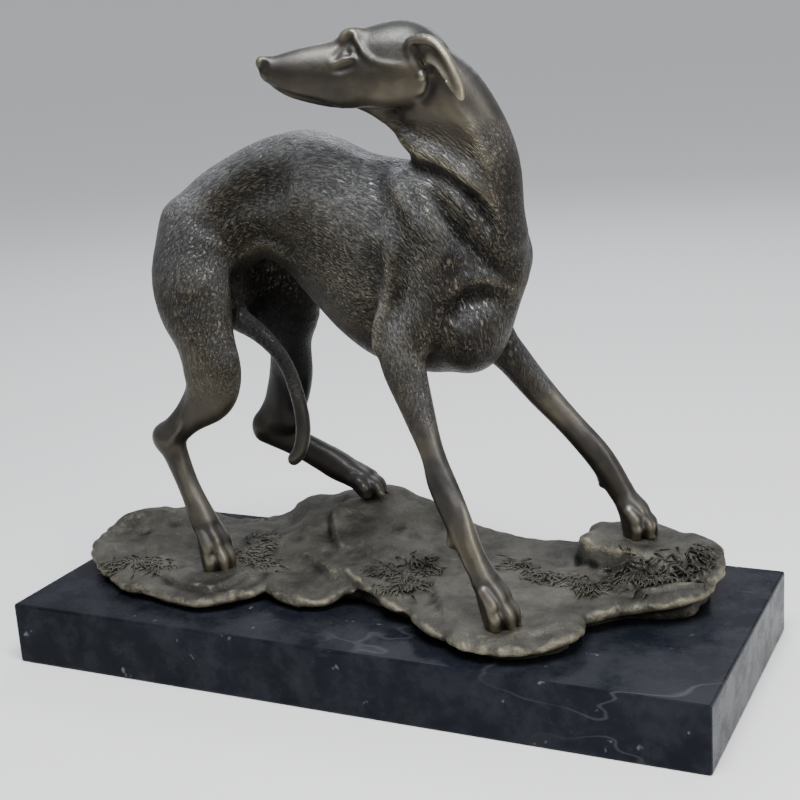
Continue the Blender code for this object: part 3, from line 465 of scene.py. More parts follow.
def trunk(clay):
    clay.press(barrel([
        (-122, 180, 157, 6, 8), (-115, 193, 150, 13, 8), (-104, 201, 150, 17, 8), (-92, 209, 155, 20, 7),
        (-76, 217, 160, 21, 7), (-60, 223.5, 166, 19, 6), (-46, 227, 160, 20, 5),
        (-30, 228.5, 144, 23, 4), (-14, 224.5, 129.5, 25.5, 2), (4, 217, 119, 27.5, 1),
        (28, 213, 114, 27.5, 0), (46, 207, 116, 25, 0), (58, 200, 121, 21, 1), (67, 190, 133, 16, 2),
        (73, 178, 147, 10, 3), (77, 169, 157, 5, 4)]), 4.0)
    clay.press(egg((52.5, -6, 136), (16, 19, 19)), 9.0)  # the brisket
    clay.press(egg((64, 13, 168), (12.5, 12, 17)), 4.0)  # point of the far shoulder


def hind_leg_near(clay):
    clay.press(sweep([
        (-94, -4, 186, 11, 18), (-95, -12, 162, 13, 21), (-91, -16, 145, 13, 20.5),
        (-85, -19, 128, 11, 16), (-81.5, -21, 113, 9.5, 16), (-85, -21.5, 101, 8.5, 14),
        (-98, -21.5, 89, 7, 8.5), (-110, -21, 79, 6, 7.5)]), 6.0)
    clay.press(egg((-113, -21, 77), (8, 6, 8.5), (0.5, 0, 1)), 3.0)
    clay.press(sweep([(-111, -21, 76, 5.8, 7.5), (-103, -21, 53, 5, 6), (-95, -21.5, 34, 6.8, 7)]), 3.0)
    paw(clay, (-94, -21, 31), (-82, -23.5, 9.5))


def hind_leg_far(clay):
    clay.press(sweep([
        (-88, 19, 184, 11, 18), (-76, 27, 158, 13, 21), (-67.5, 33, 137, 12, 19.2),
        (-69, 36, 117, 10, 11.8), (-71.8, 39, 98, 8, 12.5), (-79, 41, 80, 6.5, 12),
        (-91, 42, 68, 6, 8)]), 6.0)
    clay.press(egg((-93, 42, 67), (7, 6, 7)), 3.0)
    clay.press(egg((-91, 12, 147), (16, 22, 19)), 8.0)  # the skin between the thighs
    clay.press(egg((-78, 30, 131), (11, 9, 12.5)), 6.0)  # the back of the far thigh
    clay.press(egg((-78, 41, 71), (9, 5.5, 8)), 4.0)  # the skin before the far heel's tendon
    clay.press(egg((-101.5, 3, 177), (14, 13, 15.5)), 8.0)  # the rump
    clay.press(sweep([
        (-93, 42, 65, 5.8, 8), (-72, 44, 56.5, 5.5, 7.9), (-52, 45, 46.6, 6.4, 8.4),
        (-43, 45, 42.4, 6.6, 7.2)]), 3.0)
    paw(clay, (-41, 45, 42), (-25, 44, 33.8))


def foreleg_near(clay):
    clay.press(sweep([
        (24, -12, 207, 4, 7), (31, -17, 199, 6, 9), (38, -20, 188, 7, 11), (43, -21, 172, 8, 13),
        (40, -23, 152, 8, 13), (31, -26, 138, 8, 12), (27.6, -29, 127, 8, 11.4),
        (36.1, -34, 104.5, 6.5, 8), (44.4, -39, 86, 5.2, 5.8), (49.5, -42, 73, 5.5, 6.8),
        (59, -45, 54, 5.5, 6.6), (65, -46.5, 41, 5, 6), (70, -47, 32, 6.2, 6)]), 4.0)
    # The muscle behind the upper arm, down to the elbow.
    clay.press(sweep([
        (22, -18, 190, 4, 5), (22, -22, 177, 5, 6), (21, -24, 164, 5, 6), (19, -27, 148, 5, 6),
        (17, -29, 133, 4.5, 4.5)]), 4.0)
    paw(clay, (71, -47, 29), (84, -48.5, 11))
    clay.press(egg((54.5, -46, 47.5), (2.6, 3, 4.5)), 1.5)  # the pad behind the wrist


def foreleg_far(clay):
    clay.press(sweep([
        (54, 16, 168, 9, 12), (47, 22, 146, 9, 11), (51, 27, 125, 8, 10.4),
        (59, 30, 113.4, 7.2, 8.6), (71.2, 32, 97.6, 6.2, 7.6), (85, 34, 81.8, 5.6, 6.7),
        (98.8, 36, 65.2, 5.7, 7), (108.8, 38, 47.5, 5.4, 6.4), (112, 38, 42, 6, 5.5)]), 4.0)
    paw(clay, (112.5, 38, 41), (123.5, 37.5, 27.5))
    clay.press(egg((99.5, 37, 53.5), (2.6, 3, 4.5)), 1.5)  # the pad behind the wrist


def paw(clay, root, tip):
    """Four toes with claws from the end of the leg to the ground, over a pad. The outer two are shorter."""
    root, tip = np.array(root, float), np.array(tip, float)
    along = unit(tip - root)
    across = unit(np.cross(along, UP))
    front = np.cross(across, along)
    heading = np.cross(UP, across)
    size = PAW_SIZE
    heel = tip - 8 * heading + 1.5 * np.array(UP)
    middle = 0.5 * root + 0.5 * heel
    pad = [(*root, 5 * size, 4.5 * size), (*middle, 6.2 * size, 4.8 * size), (*heel, 6.6 * size, 5 * size)]
    clay.press(sweep(pad, across), 3.0)
    for spread in (-1.4, -0.5, 0.5, 1.4):
        outer = abs(spread) > 1
        back, lift = (2, 0.4) if outer else (-5, 1.9)
        start = root + back * along + size * (3.2 * spread * across + lift * front)
        end = tip + 3.9 * size * spread * across - 6.0 * outer * heading
        toe = [start, 0.6 * start + 0.4 * end + 2.0 * front, 0.4 * start + 0.6 * end + 1.5 * front,
               0.2 * start + 0.8 * end + 1.9 * front, end]
        widths = [share * size for share in (2.4, 2.8, 2.6, 2.7, 1.9)]
        clay.press(sweep([(*spot, w, w) for spot, w in zip(toe, widths)], across), 1.0)
        claw = end + 3.4 * heading - 0.9 * np.array(UP)
        clay.press(sweep([(*end, 1.5, 1.5), (*claw, 0.6, 0.6)], across), 0.6)


def tail(clay):
    clay.press(sweep([
        (-113, 8, 176, 9, 10), (-110, 8, 158, 9, 11), (-98, 8, 145, 8, 10), (-82, 5, 136, 5, 7),
        (-64, 0, 128, 4, 5), (-51, -2, 115.5, 3.6, 4), (-43.5, -4, 97, 3.6, 3.9),
        (-41, -6, 82, 3.8, 4), (-43, -8, 71, 3.6, 3.8), (-47, -8, 66.5, 3.4, 3.6)]), 2.0)


def neck(clay):
    clay.press(sweep([
        (36, -9, 256, 11, 15), (43, -6, 242, 13, 21), (49, -4, 226, 14, 24),
        (54, -2, 210, 16, 24), (54, 0, 192, 18, 24), (57, 1, 178, 19, 22)]), 5.0)
    clay.press(sweep([
        (0, -17, 246, 3, 4), (13, -12, 240, 3.5, 4.5), (23, -10, 232, 3.5, 4.5),
        (32, -12, 223.5, 3.5, 4.5), (42, -14, 216, 3, 4)]), 3.0)  # the windpipe


FACE_FOLDS = [
    # the eye's hollow, under the brow
    (-3.0, 1.6, [(12.8, -28.7, 272.6), (12.6, -29.8, 270.1), (12.3, -30.5, 267.6), (12, -31.4, 264.7),
                 (13, -31.8, 262.6)]),
    # the hollow before the eye
    (-1.6, 1.7, [(11.8, -30, 270.6), (9.5, -30.8, 267.4), (7.6, -32.3, 264.5), (5.7, -33.9, 261.7)]),
    # behind the eyeball
    (-1.8, 1.3, [(13.5, -29.8, 268.8), (15.3, -29.9, 266.6), (15.9, -30.6, 264.1), (14.3, -31.5, 262.5)]),
    # the brow
    (1.8, 1.3, [(12.1, -28.3, 273.9), (13.8, -28.9, 271.7), (15.1, -29.2, 268.7), (17.5, -29.6, 265.2),
                (20.3, -29.8, 262.2), (23.4, -29.6, 259.9)]),
    # the line from the brow to the ear
    (0.8, 1.3, [(21.6, -29.8, 260.8), (26.1, -29.3, 258.9), (32.2, -27.2, 257.7), (37.6, -24.4, 256.9)]),
    # the lower lid
    (1.3, 1.4, [(4.1, -35.1, 258.9), (7.9, -33.6, 260.4), (11.8, -32.3, 261.8), (15.2, -31.1, 262.9)]),
    # under the lower lid
    (-1.3, 1.8, [(5, -35.1, 257.2), (10, -33.4, 257.7), (15.2, -31.8, 259.5)]),
    # the mouth
    (-1.1, 1.3, [(-20.3, -40.4, 251.2), (-14.7, -38.3, 247.8), (-9, -36.2, 245.7), (-1.9, -32.8, 243.4),
                 (4.5, -26.5, 240.1)]),
    # the nostril
    (-2.0, 1.1, [(-25.6, -43, 263.6), (-24.1, -43.4, 262.3), (-24.1, -43.6, 260.6), (-25.6, -43.1, 258.9)]),
    # behind the nose
    (-1.0, 1.1, [(-23, -42.4, 262.6), (-22.8, -43.3, 259.2), (-22.4, -42.9, 256.2)]),
    # the back of the cheek
    (-2.0, 2.0, [(44.9, -19.2, 252.4), (45.1, -19, 248.1), (43.4, -19.3, 243.9), (39.3, -19.2, 240.6)]),
    # the edge of the cheek
    (1.0, 1.6, [(43.3, -20.5, 255.1), (43.5, -20.4, 250.9), (42.2, -20.3, 247.1), (39.7, -20.4, 244.1)]),
]

FOLDS = [
    # the windpipe, twisted round to the breast
    (4.2, 4.0, [(23, -12, 227), (36, -16, 220), (47, -17, 214), (57, -18, 207), (65, -16, 201),
                (70, -13, 192), (72, -12, 180)]),
    # the furrow under it
    (-4.6, 4.0, [(38, -16, 215), (44, -17, 211), (50, -18, 208), (58, -17, 202), (64, -16, 195),
                 (68, -14, 186), (71, -13, 176)]),
    # the muscle that shows in it
    (2.0, 7.0, [(37, -14, 209), (46, -17, 203), (53, -18, 196), (60, -17, 190), (66, -16, 181),
                (70, -13, 173)]),
    # the furrow before the shoulder
    (-4.4, 4.2, [(40, -18, 204), (45, -20, 198), (50, -21, 191), (56, -19, 183), (63, -17, 175),
                 (69, -12, 166), (74, -5, 158)]),
    # the front edge of the shoulder
    (2.6, 5.0, [(34, -14, 209), (42, -22, 198), (47, -26, 187), (49, -28, 175), (48, -29, 162)]),
    # the ledge over the breast
    (2.8, 4.2, [(50, -28, 153), (54, -25, 158), (58, -20, 161), (65, -16, 161), (70, -10, 158),
                (74, 0, 150)]),
    # the hollow under the ledge
    (-5.0, 5.0, [(50, -27, 145), (54, -24, 151), (59, -20, 154), (65, -15, 155), (70, -9, 152),
                 (72, 1, 146)]),
    # the edge of the neck muscle
    (1.8, 3.4, [(49, -18, 247), (55, -17, 237), (62, -16, 228), (66, -15, 219), (69, -14, 207),
                (71, -12, 194)]),
    # the hollow before it
    (-3.0, 7.0, [(24, -13, 234), (37, -17, 230), (47, -18, 226), (56, -18, 220), (62, -17, 212)]),
    # the back of the shoulder blade
    (-1.8, 4.0, [(18, -2, 214), (16, -9, 212), (16, -16, 204), (18, -22, 194), (18, -26, 183)]),
    # the spine of the shoulder blade
    (1.6, 3.6, [(20, -14, 209), (26, -21, 202), (33, -25, 194), (39, -27, 187), (43, -28, 181)]),
    # beside the spine
    (-1.3, 3.0, [(21, -4, 214), (30, -19, 207), (36, -24, 199), (41, -26, 192)]),
    # the muscle behind the upper arm
    (1.2, 4.5, [(22, -25, 188), (23, -28, 175), (23, -29, 162), (22, -31, 150), (19, -33, 139)]),
    # the hollow behind it
    (-3.6, 4.5, [(16, -26, 181), (16, -28, 166), (15, -29, 153), (6, -22, 140)]),
    # the hollow before it
    (-1.4, 3.6, [(29, -27, 175), (28, -28, 163), (27, -29, 153), (26, -33, 142)]),
    # the near edge of the back
    (1.5, 4.5, [(-29, -8, 222), (-18, -7, 222), (-5, -8, 217), (4, -8, 214), (14, -5, 214)]),
    # the hollow of the flank
    (-5.0, 12.0, [(-80, -15, 179), (-72, -14, 190), (-60, -13, 198), (-44, -14, 203), (-31, -17, 203)]),
    # the swell of the haunch
    (2.0, 12.0, [(-102, 1, 201), (-95, -16, 186), (-89, -23, 169), (-83, -27, 151)]),
    # the fold from thigh to belly
    (1.8, 3.6, [(-73, -13, 158), (-73, -5, 166), (-63, -6, 172), (-50, -10, 175), (-37, -14, 170),
                (-27, -17, 164)]),
    # above the fold
    (-2.0, 3.6, [(-75, -13, 170), (-68, -10, 176), (-56, -11, 180), (-41, -14, 178), (-30, -18, 173)]),
    # the ribs
    (1.0, 3.2, [(-29, -17, 205), (-32, -18, 194), (-35, -17, 181)]),
    (1.0, 3.2, [(-22, -18, 205), (-24, -20, 193), (-27, -20, 179)]),
    (0.9, 3.2, [(-14, -19, 202), (-15, -22, 189), (-19, -22, 172)]),
    (0.8, 3.2, [(-6, -20, 201), (-7, -24, 187), (-9, -24, 171)]),
    (0.7, 3.2, [(2, -21, 199), (1, -25, 186), (0, -26, 169)]),
    # the hollow before the near heel's tendon
    (-2.2, 2.5, [(-94, -27, 108), (-97, -27, 101), (-99, -28, 94), (-104, -28, 87), (-108, -27, 81)]),
    # the vein over the near hock
    (1.3, 1.6, [(-96, -27, 101), (-98, -28, 94), (-99, -28, 86), (-105, -27, 80), (-109, -27, 74)]),
    # behind that vein
    (-1.2, 1.8, [(-92, -29, 98), (-94, -29, 90), (-99, -26, 81), (-104, -25, 72)]),
    # the tendon down the near hind foot
    (1.0, 2.0, [(-107, -26, 70), (-103, -26, 62), (-100, -26, 52), (-97, -26, 44)]),
    # beside that tendon
    (-1.0, 1.7, [(-103, -24, 71), (-101, -23, 63), (-98, -24, 54), (-94, -25, 46)]),
    # the groove down the near foreleg
    (-1.5, 2.0, [(48, -45, 84), (53, -46, 76), (58, -46, 69), (60, -48, 63), (61, -50, 55), (62, -51, 47),
                 (66, -52, 39), (70, -54, 31)]),
    # the tendon before it
    (0.9, 2.4, [(49, -37, 88), (55, -40, 77), (59, -42, 69), (63, -46, 61), (65, -50, 51), (69, -51, 41),
                (73, -53, 32)]),
    # the groove down the far foreleg
    (-1.2, 2.0, [(76, 28, 99), (83, 29, 91), (90, 30, 83), (96, 31, 75), (102, 31, 66), (107, 32, 55)]),
    # the hollow before the far heel's tendon
    (-1.4, 2.4, [(-76, 31, 103), (-73, 32, 91), (-73, 35, 80), (-72, 36, 71)]),
]


def folds(clay):
    """Ridges and furrows of the skin. Each fades out at both ends."""
    for height, width, spots in FOLDS:
        clay.fold(height, width, spots)


def head(clay):
    ahead = np.array((-0.87, -0.43, 0.0))
    side = np.array((0.43, -0.87, 0.0))
    clay.press(egg((28, -13, 261), (20, 13, 15.8), ahead, side), 4.0)
    clay.press(sweep([
        (31, -12, 257, 12.5, 18), (15, -19.5, 257, 12, 17.5), (4, -25, 255, 10.3, 15.2),
        (-10.7, -32.5, 256, 7.8, 11.8), (-18, -36, 257.3, 6.4, 9.2),
        (-23.5, -38.8, 259, 4.8, 6)], side), 3.0)
    clay.press(egg((-26.2, -40.2, 262), (3.2, 3.8, 3.2), ahead, side), 1.5)
    clay.press(egg((28, -20, 251), (15, 7.5, 10), ahead, side), 7.0)  # the near cheek
    middle = np.array((28.0, -13.0, 0.0))
    for mirror in (False, True):
        face_side(clay, ahead, side, middle, mirror)


def face_side(clay, ahead, side, middle, mirror):
    """The brow, eye, ear and lines of one side. The far side mirrors the near one in the head's plane."""
    def place(x, y, z):
        point = np.array((x, y, z), float)
        return point - 2 * mirror * np.dot(point - middle, side) * side

    clay.press(egg(place(12, -26, 270.6), (6, 3.4, 4.4), ahead, side), 3.0)
    for height, width, spots in FACE_FOLDS:
        clay.fold(height, width, [place(*spot) for spot in spots])
    clay.press(egg(place(12.8, -28.2, 265), (2.3, 2.2, 2.2), ahead, side), 0.6)
    ear = [(37, -20, 260, 3.0, 5), (41, -21.5, 263.3, 3.0, 6.6), (46.5, -23.5, 263.6, 2.8, 6.4),
           (52.4, -25, 260, 2.5, 5), (56.8, -26, 254.2, 2.2, 4.2), (60.5, -26.6, 247.5, 1.9, 3.4),
           (62.6, -27, 242.6, 1.3, 1.7)]
    clay.press(sweep([(*place(x, y, z), w, d) for x, y, z, w, d in ear], side), 1.5)
    hollow = [(x - 0.6, y - 2.6, z - 1.8, w - 0.7, d - 1.7) for x, y, z, w, d in ear[1:6]]
    clay.carve(sweep([(*place(x, y, z), w, d) for x, y, z, w, d in hollow], side), 0.8)
    for x, z, size in ((38, 256, 2.6), (42, 252, 1.8), (44.5, 258, 1.5)):
        clay.press(egg(place(x, -21.5, z), (size, 1.8, 1.3 * size), ahead, side), 1.0)


def greyhound(clay):
    trunk(clay)
    hind_leg_far(clay)
    hind_leg_near(clay)
    tail(clay)
    foreleg_far(clay)
    foreleg_near(clay)
    neck(clay)
    head(clay)
    folds(clay)


def skin(clay):
    """The corners and the four-sided faces of the clay's surface."""
    inside = clay.value < 0
    corners, number = skin_corners(clay, inside)
    return corners, skin_faces(inside, number)


def skin_corners(clay, inside):
    """A corner for each cell that the surface crosses, and the block of their numbers."""
    shape = np.array(inside.shape) - 1
    spots = [(i, j, k) for i in (0, 1) for j in (0, 1) for k in (0, 1)]

    def shifted(array, spot):
        return array[tuple(slice(s, s + n) for s, n in zip(spot, shape))]

    count = sum(shifted(inside, s).astype(np.int8) for s in spots)
    crossed = (count > 0) & (count < 8)
    cells = np.argwhere(crossed)
    number = np.full(shape, -1, np.int64)
    number[crossed] = np.arange(len(cells))
    at = {s: shifted(clay.value, s)[crossed] for s in spots}
    total = np.zeros((len(cells), 3))
    hits = np.zeros(len(cells))
    for a in spots:
        for axis in range(3):
            if a[axis]:
                continue
            b = tuple(1 if n == axis else a[n] for n in range(3))
            cut = (at[a] < 0) != (at[b] < 0)
            t = at[a][cut] / (at[a][cut] - at[b][cut])
            spot = np.tile(np.array(a, float), (cut.sum(), 1))
            spot[:, axis] = t
            total[cut] += spot
            hits[cut] += 1
    origin = np.array([a[0] for a in clay.axes])
    return origin + clay.step * (cells + total / hits[:, None]), number


def skin_faces(inside, number):
    """A face across each edge between two grid points that the surface parts, facing outwards."""
    faces = []
    for axis in range(3):
        ahead = tuple(slice(1, None) if n == axis else slice(None) for n in range(3))
        behind = tuple(slice(None, -1) if n == axis else slice(None) for n in range(3))
        changes = np.argwhere(inside[ahead] != inside[behind])
        leaves = inside[behind][tuple(changes.T)]
        p, q = (axis + 1) % 3, (axis + 2) % 3
        around = []
        for dp, dq in ((0, 0), (-1, 0), (-1, -1), (0, -1)):
            cell = changes.copy()
            cell[:, p] += dp
            cell[:, q] += dq
            around.append(number[tuple(cell.T)])
        quads = np.stack(around, axis=1)
        faces.append(np.where(leaves[:, None], quads, quads[:, ::-1]))
    return np.concatenate(faces)


def mend(clay):
    """Fills the cells where two walls of the skin would share an edge, so that the mesh stays closed."""
    for _ in range(8):
        corners, faces = skin(clay)
        ends = np.concatenate([faces[:, [a, (a + 1) % 4]] for a in range(4)])
        edges, uses = np.unique(np.sort(ends, axis=1), axis=0, return_counts=True)
        shared = np.unique(edges[uses > 2])
        if not len(shared):
            return corners, faces
        origin = np.array([a[0] for a in clay.axes])
        for cell in np.floor((corners[shared] - origin) / clay.step).astype(int):
            box = tuple(slice(c, c + 2) for c in cell)
            clay.value[box] = np.minimum(clay.value[box], -0.05 * clay.step)
    return corners, faces


def blurred(value, times):
    """The block with each cell averaged with its neighbours, this many times over."""
    made = value.copy()
    for _ in range(times):
        for axis in range(3):
            low = np.roll(made, 1, axis)
            high = np.roll(made, -1, axis)
            made = 0.25 * low + 0.5 * made + 0.25 * high
    return made


def sampled(clay, block, points):
    """The block's values at points between its cells."""
    origin = np.array([a[0] for a in clay.axes])
    spot = (points - origin) / clay.step
    cell = np.clip(np.floor(spot).astype(int), 0, np.array(block.shape) - 2)
    part = spot - cell
    total = np.zeros(len(points))
    for i in (0, 1):
        for j in (0, 1):
            for k in (0, 1):
                weight = np.ones(len(points))
                for axis, step in enumerate((i, j, k)):
                    weight *= part[:, axis] if step else 1 - part[:, axis]
                total += weight * block[cell[:, 0] + i, cell[:, 1] + j, cell[:, 2] + k]
    return total


def outward(clay, points):
    """The unit normals of the clay at points of its skin."""
    slopes = np.gradient(clay.value, clay.step)
    normals = np.stack([sampled(clay, slope, points) for slope in slopes], axis=1)
    return normals / np.linalg.norm(normals, axis=1, keepdims=True)


def in_box(points, low, high, margin):
    return ((points > np.array(low) + margin) & (points < np.array(high) - margin)).all(axis=1)


def close_walls(clay):
    """Leaves the outermost cells of the block empty, so that the skin closes inside it."""
    for axis in range(3):
        ends = np.moveaxis(clay.value, axis, 0)
        ends[:2] = np.maximum(ends[:2], clay.step)
        ends[-2:] = np.maximum(ends[-2:], clay.step)


def only_used(corners, faces):
    """The corners that these faces use, and the faces with their new numbers."""
    used = np.unique(faces)
    renumber = np.zeros(len(corners), int)
    renumber[used] = np.arange(len(used))
    return corners[used], renumber[faces]


def clay_piece(name, block, shape, others=()):
    """A piece of the casting from its own block of clay, without what lies in the other blocks."""
    low, high, step = block
    clay = Clay(np.array(low) - BLOCK_MARGIN, np.array(high) + BLOCK_MARGIN, step)
    shape(clay)
    clay.value = blurred(clay.value, SMOOTHING)
    bulge = blurred(clay.value, round(CREST_REACH / step**2)) - clay.value
    close_walls(clay)
    corners, faces = mend(clay)
    middles = corners[faces].mean(axis=1)
    keep = in_box(middles, low, high, 0.0)
    for other_low, other_high, _ in others:
        keep &= ~in_box(middles, other_low, other_high, BLOCK_OVERLAP)
    corners, faces = only_used(corners, faces[keep])
    normals = outward(clay, corners)
    crest = sampled(clay, bulge, corners)
    # Painted shade between the hind legs: no crest there is rubbed to brass, and the material darkens the
    # colour by this share.
    painted_leg_shade = 1 - outside_leg_shade(corners)
    crest = np.where(crest > 0, crest * (1 - painted_leg_shade), crest)
    mesh = bpy.data.meshes.new(name)
    mesh.from_pydata((corners * SCALE).tolist(), [], faces.tolist())
    mesh.shade_smooth()
    mesh.normals_split_custom_set_from_vertices(normals.tolist())
    store(mesh, "crest", crest)
    store(mesh, "fur", fur(corners))
    store(mesh, "painted_leg_shade", painted_leg_shade)
    store_vectors(mesh, "coat_flow", coat_flow(corners))
    return in_the_casting(mesh)


def placed(name, data, location=(0, 0, 0)):
    """An object of the scene with this data, at this place."""
    made = bpy.data.objects.new(name, data)
    made.location = location
    bpy.context.scene.collection.objects.link(made)
    return made


def in_the_casting(mesh):
    """An object of this mesh, in the casting's place."""
    made = placed(mesh.name, mesh, (0, 0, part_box("plinth")[1][2] + SEAT_GAP))
    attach(made, "root")
    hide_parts("greyhound")
    return made


def store(mesh, name, values):
    attribute = mesh.attributes.new(name, "FLOAT", "POINT")
    attribute.data.foreach_set("value", np.asarray(values, np.float32))


def store_vectors(mesh, name, vectors):
    attribute = mesh.attributes.new(name, "FLOAT_VECTOR", "POINT")
    attribute.data.foreach_set("vector", np.asarray(vectors, np.float32).ravel())


def coat_flow(points):
    """Coordinates that follow the coat: out from the belly, along the arch of the back, and across."""
    x, y, z = points.T
    out = np.hypot(x - COAT_CENTRE[0], z - COAT_CENTRE[1])
    turn = np.arctan2(x - COAT_CENTRE[0], z - COAT_CENTRE[1])
    return np.stack([out, COAT_RADIUS * turn, y], axis=1)


def rough(clay, height, lengths, seed, creased=False):
    """Makes the skin uneven by about this height, in lumps of about these lengths or in creases."""
    counts = [int(np.ptp(axis) / length) + 3 for axis, length in zip(clay.axes, lengths)]
    noise = np.random.default_rng(seed).uniform(-1, 1, counts)
    for number, (axis, length) in enumerate(zip(clay.axes, lengths)):
        spot = (axis - axis[0]) / length
        cell = spot.astype(int)
        share = spot - cell
        share = share * share * (3 - 2 * share)
        share = share.reshape([-1 if n == number else 1 for n in range(3)])
        noise = np.take(noise, cell, number) * (1 - share) + np.take(noise, cell + 1, number) * share
    if creased:
        noise = 1 - CREASE_DROP * np.abs(noise)
    clay.value -= height * noise.astype(np.float32)


def faded(value, start, length):
    """From 0 up to the start to 1 from this length after it."""
    return np.clip((value - start) / length, 0, 1)


def fur(points):
    """How much of the coat shows: none on the face and the lower legs, all of it on the back."""
    x, _, z = points.T
    neck = faded(x, *NECK_FADE_AHEAD) * faded(z, *NECK_FADE_UP)
    return faded(z, *LEG_FADE) * (1 - NECK_SHARE * neck) * (1 - faded(z, *HEAD_FADE))


def outside_leg_shade(points):
    """From 0 between the hind legs, in the painted shade there, to 1 well away from there."""
    return np.clip(np.linalg.norm((points - LEG_SHADE_CENTRE) / LEG_SHADE_REACH, axis=1) - LEG_SHADE_CORE, 0.0, 1.0)


class Nodes:
    """A material's node tree, with its nodes linked as they are made."""

    def __init__(self, name):
        self.material = bpy.data.materials.new(name)
        self.material.use_nodes = True
        self.tree = self.material.node_tree
        self.shader = self.tree.nodes["Principled BSDF"]

    def link(self, socket, value):
        if isinstance(value, bpy.types.NodeSocket):
            self.tree.links.new(value, socket)
        else:
            socket.default_value = value

    def add(self, kind, inputs=None, output=0, **settings):
        node = self.tree.nodes.new("ShaderNode" + kind)
        for name, value in settings.items():
            setattr(node, name, value)
        for name, value in (inputs or {}).items():
            self.link(node.inputs[name], value)
        return node.outputs[output]

    def place(self):
        return self.add("TexCoord", output="Object")

    def attribute(self, name):
        return self.add("Attribute", output="Fac", attribute_name=name)

    def coat_strokes(self):
        """Short incised strokes that follow the coat, in two slants that take turns."""
        flow = self.add("Attribute", output="Vector", attribute_name="coat_flow")
        slants = [self.noise(self.stretched(flow, STROKE_SCALE, (0, 0, slant)), 1.0, 2.0, 0.55, 0.7)
                  for slant in STROKE_SLANTS]
        turn = self.ranged(self.noise(flow, 0.045, 1.0), 0.44, 0.56)
        return self.ranged(self.add("Mix", {0: turn, 2: slants[0], 3: slants[1]}), 0.36, 0.62)

    def stretched(self, vector, scale, turn=(0, 0, 0)):
        return self.add("Mapping", {"Vector": vector, "Scale": scale, "Rotation": turn})

    def noise(self, vector, scale, detail=3.0, rough=0.5, distortion=0.0):
        return self.add("TexNoise", {"Vector": vector, "Scale": scale, "Detail": detail, "Roughness": rough,
                                     "Distortion": distortion})

    def ranged(self, value, low, high, to_low=0.0, to_high=1.0):
        return self.add("MapRange", {"Value": value, "From Min": low, "From Max": high, "To Min": to_low,
                                     "To Max": to_high})

    def sum(self, a, b):
        return self.add("Math", {0: a, 1: b}, operation="ADD")

    def times(self, a, b):
        return self.add("Math", {0: a, 1: b}, operation="MULTIPLY")

    def mix_colour(self, share, a, b):
        return self.add("Mix", {0: share, 6: a, 7: b}, output=2, data_type="RGBA")

    def bump(self, height, strength, distance, normal=None):
        inputs = {"Height": height, "Strength": strength, "Distance": distance}
        if normal is not None:
            inputs["Normal"] = normal
        return self.add("Bump", inputs)

    def finish(self, **inputs):
        for name, value in inputs.items():
            self.link(self.shader.inputs[name.replace("_", " ")], value)
        return self.material


def bronze():
    """A brown-black patina with a painted cool sky sheen on the surfaces that face up, and painted shade
    between the hind legs, rubbed to brass on the crests and cut by the coat.
    """
    made = Nodes("brown_patina_bronze")
    place = made.place()
    crest = made.attribute("crest")
    coat = made.attribute("fur")
    up = made.add("SeparateXYZ", {0: made.add("NewGeometry", output=1)}, output=2)
    cloud = made.noise(place, 24.0, 4.0, 0.6)
    grain = made.noise(place, 900.0, 3.0, 0.7)
    strokes = made.coat_strokes()
    brown = made.mix_colour(made.ranged(cloud, 0.38, 0.62), DARK_BRONZE, BROWN_BRONZE)
    # Painted sky sheen: the colour turns pale and cool where the surface faces up, in patches and mostly on
    # the coat.
    sheen_patches = made.times(made.ranged(cloud, 0.30, 0.60, 0.5, 1.0), made.ranged(coat, 0.0, 1.0, 0.28, 1.0))
    painted_sky_sheen = made.times(made.ranged(up, 0.05, 0.95), sheen_patches)
    base = made.mix_colour(painted_sky_sheen, brown, PAINTED_SKY_SHEEN)
    worn = made.ranged(made.sum(crest, made.times(made.sum(cloud, -0.5), 1.5)), 0.25, 1.6, 0.0, 0.75)
    lighter = made.mix_colour(worn, base, RUBBED_BRONZE)
    deep = made.mix_colour(made.ranged(crest, -0.05, -0.9), lighter, DEEP_BRONZE)
    grooves = made.times(made.ranged(strokes, 0.55, 0.30), made.times(coat, 0.45))
    grooved = made.mix_colour(grooves, deep, DEEP_BRONZE)
    combed = made.times(made.ranged(strokes, 0.62, 1.0), made.times(coat, 0.14))
    rubbed = made.mix_colour(combed, grooved, RUBBED_BRONZE)
    # Painted shade between the hind legs: there the colour goes most of the way to DEEP_BRONZE.
    painted_shade_share = made.ranged(made.attribute("painted_leg_shade"), 0.0, 1.0, 0.0, 0.85)
    colour = made.mix_colour(painted_shade_share, rubbed, DEEP_BRONZE)
    hammered = made.bump(made.noise(place, 110.0, 3.0, 0.5), 0.22, 0.0012)
    first = made.bump(made.times(strokes, coat), 1.0, 0.0018, hammered)
    second = made.bump(grain, 0.3, 0.0002, first)
    rough_share = made.ranged(grain, 0.3, 0.7, 0.32, 0.50)
    return made.finish(Base_Color=colour, Metallic=0.75, Roughness=rough_share, Normal=second)


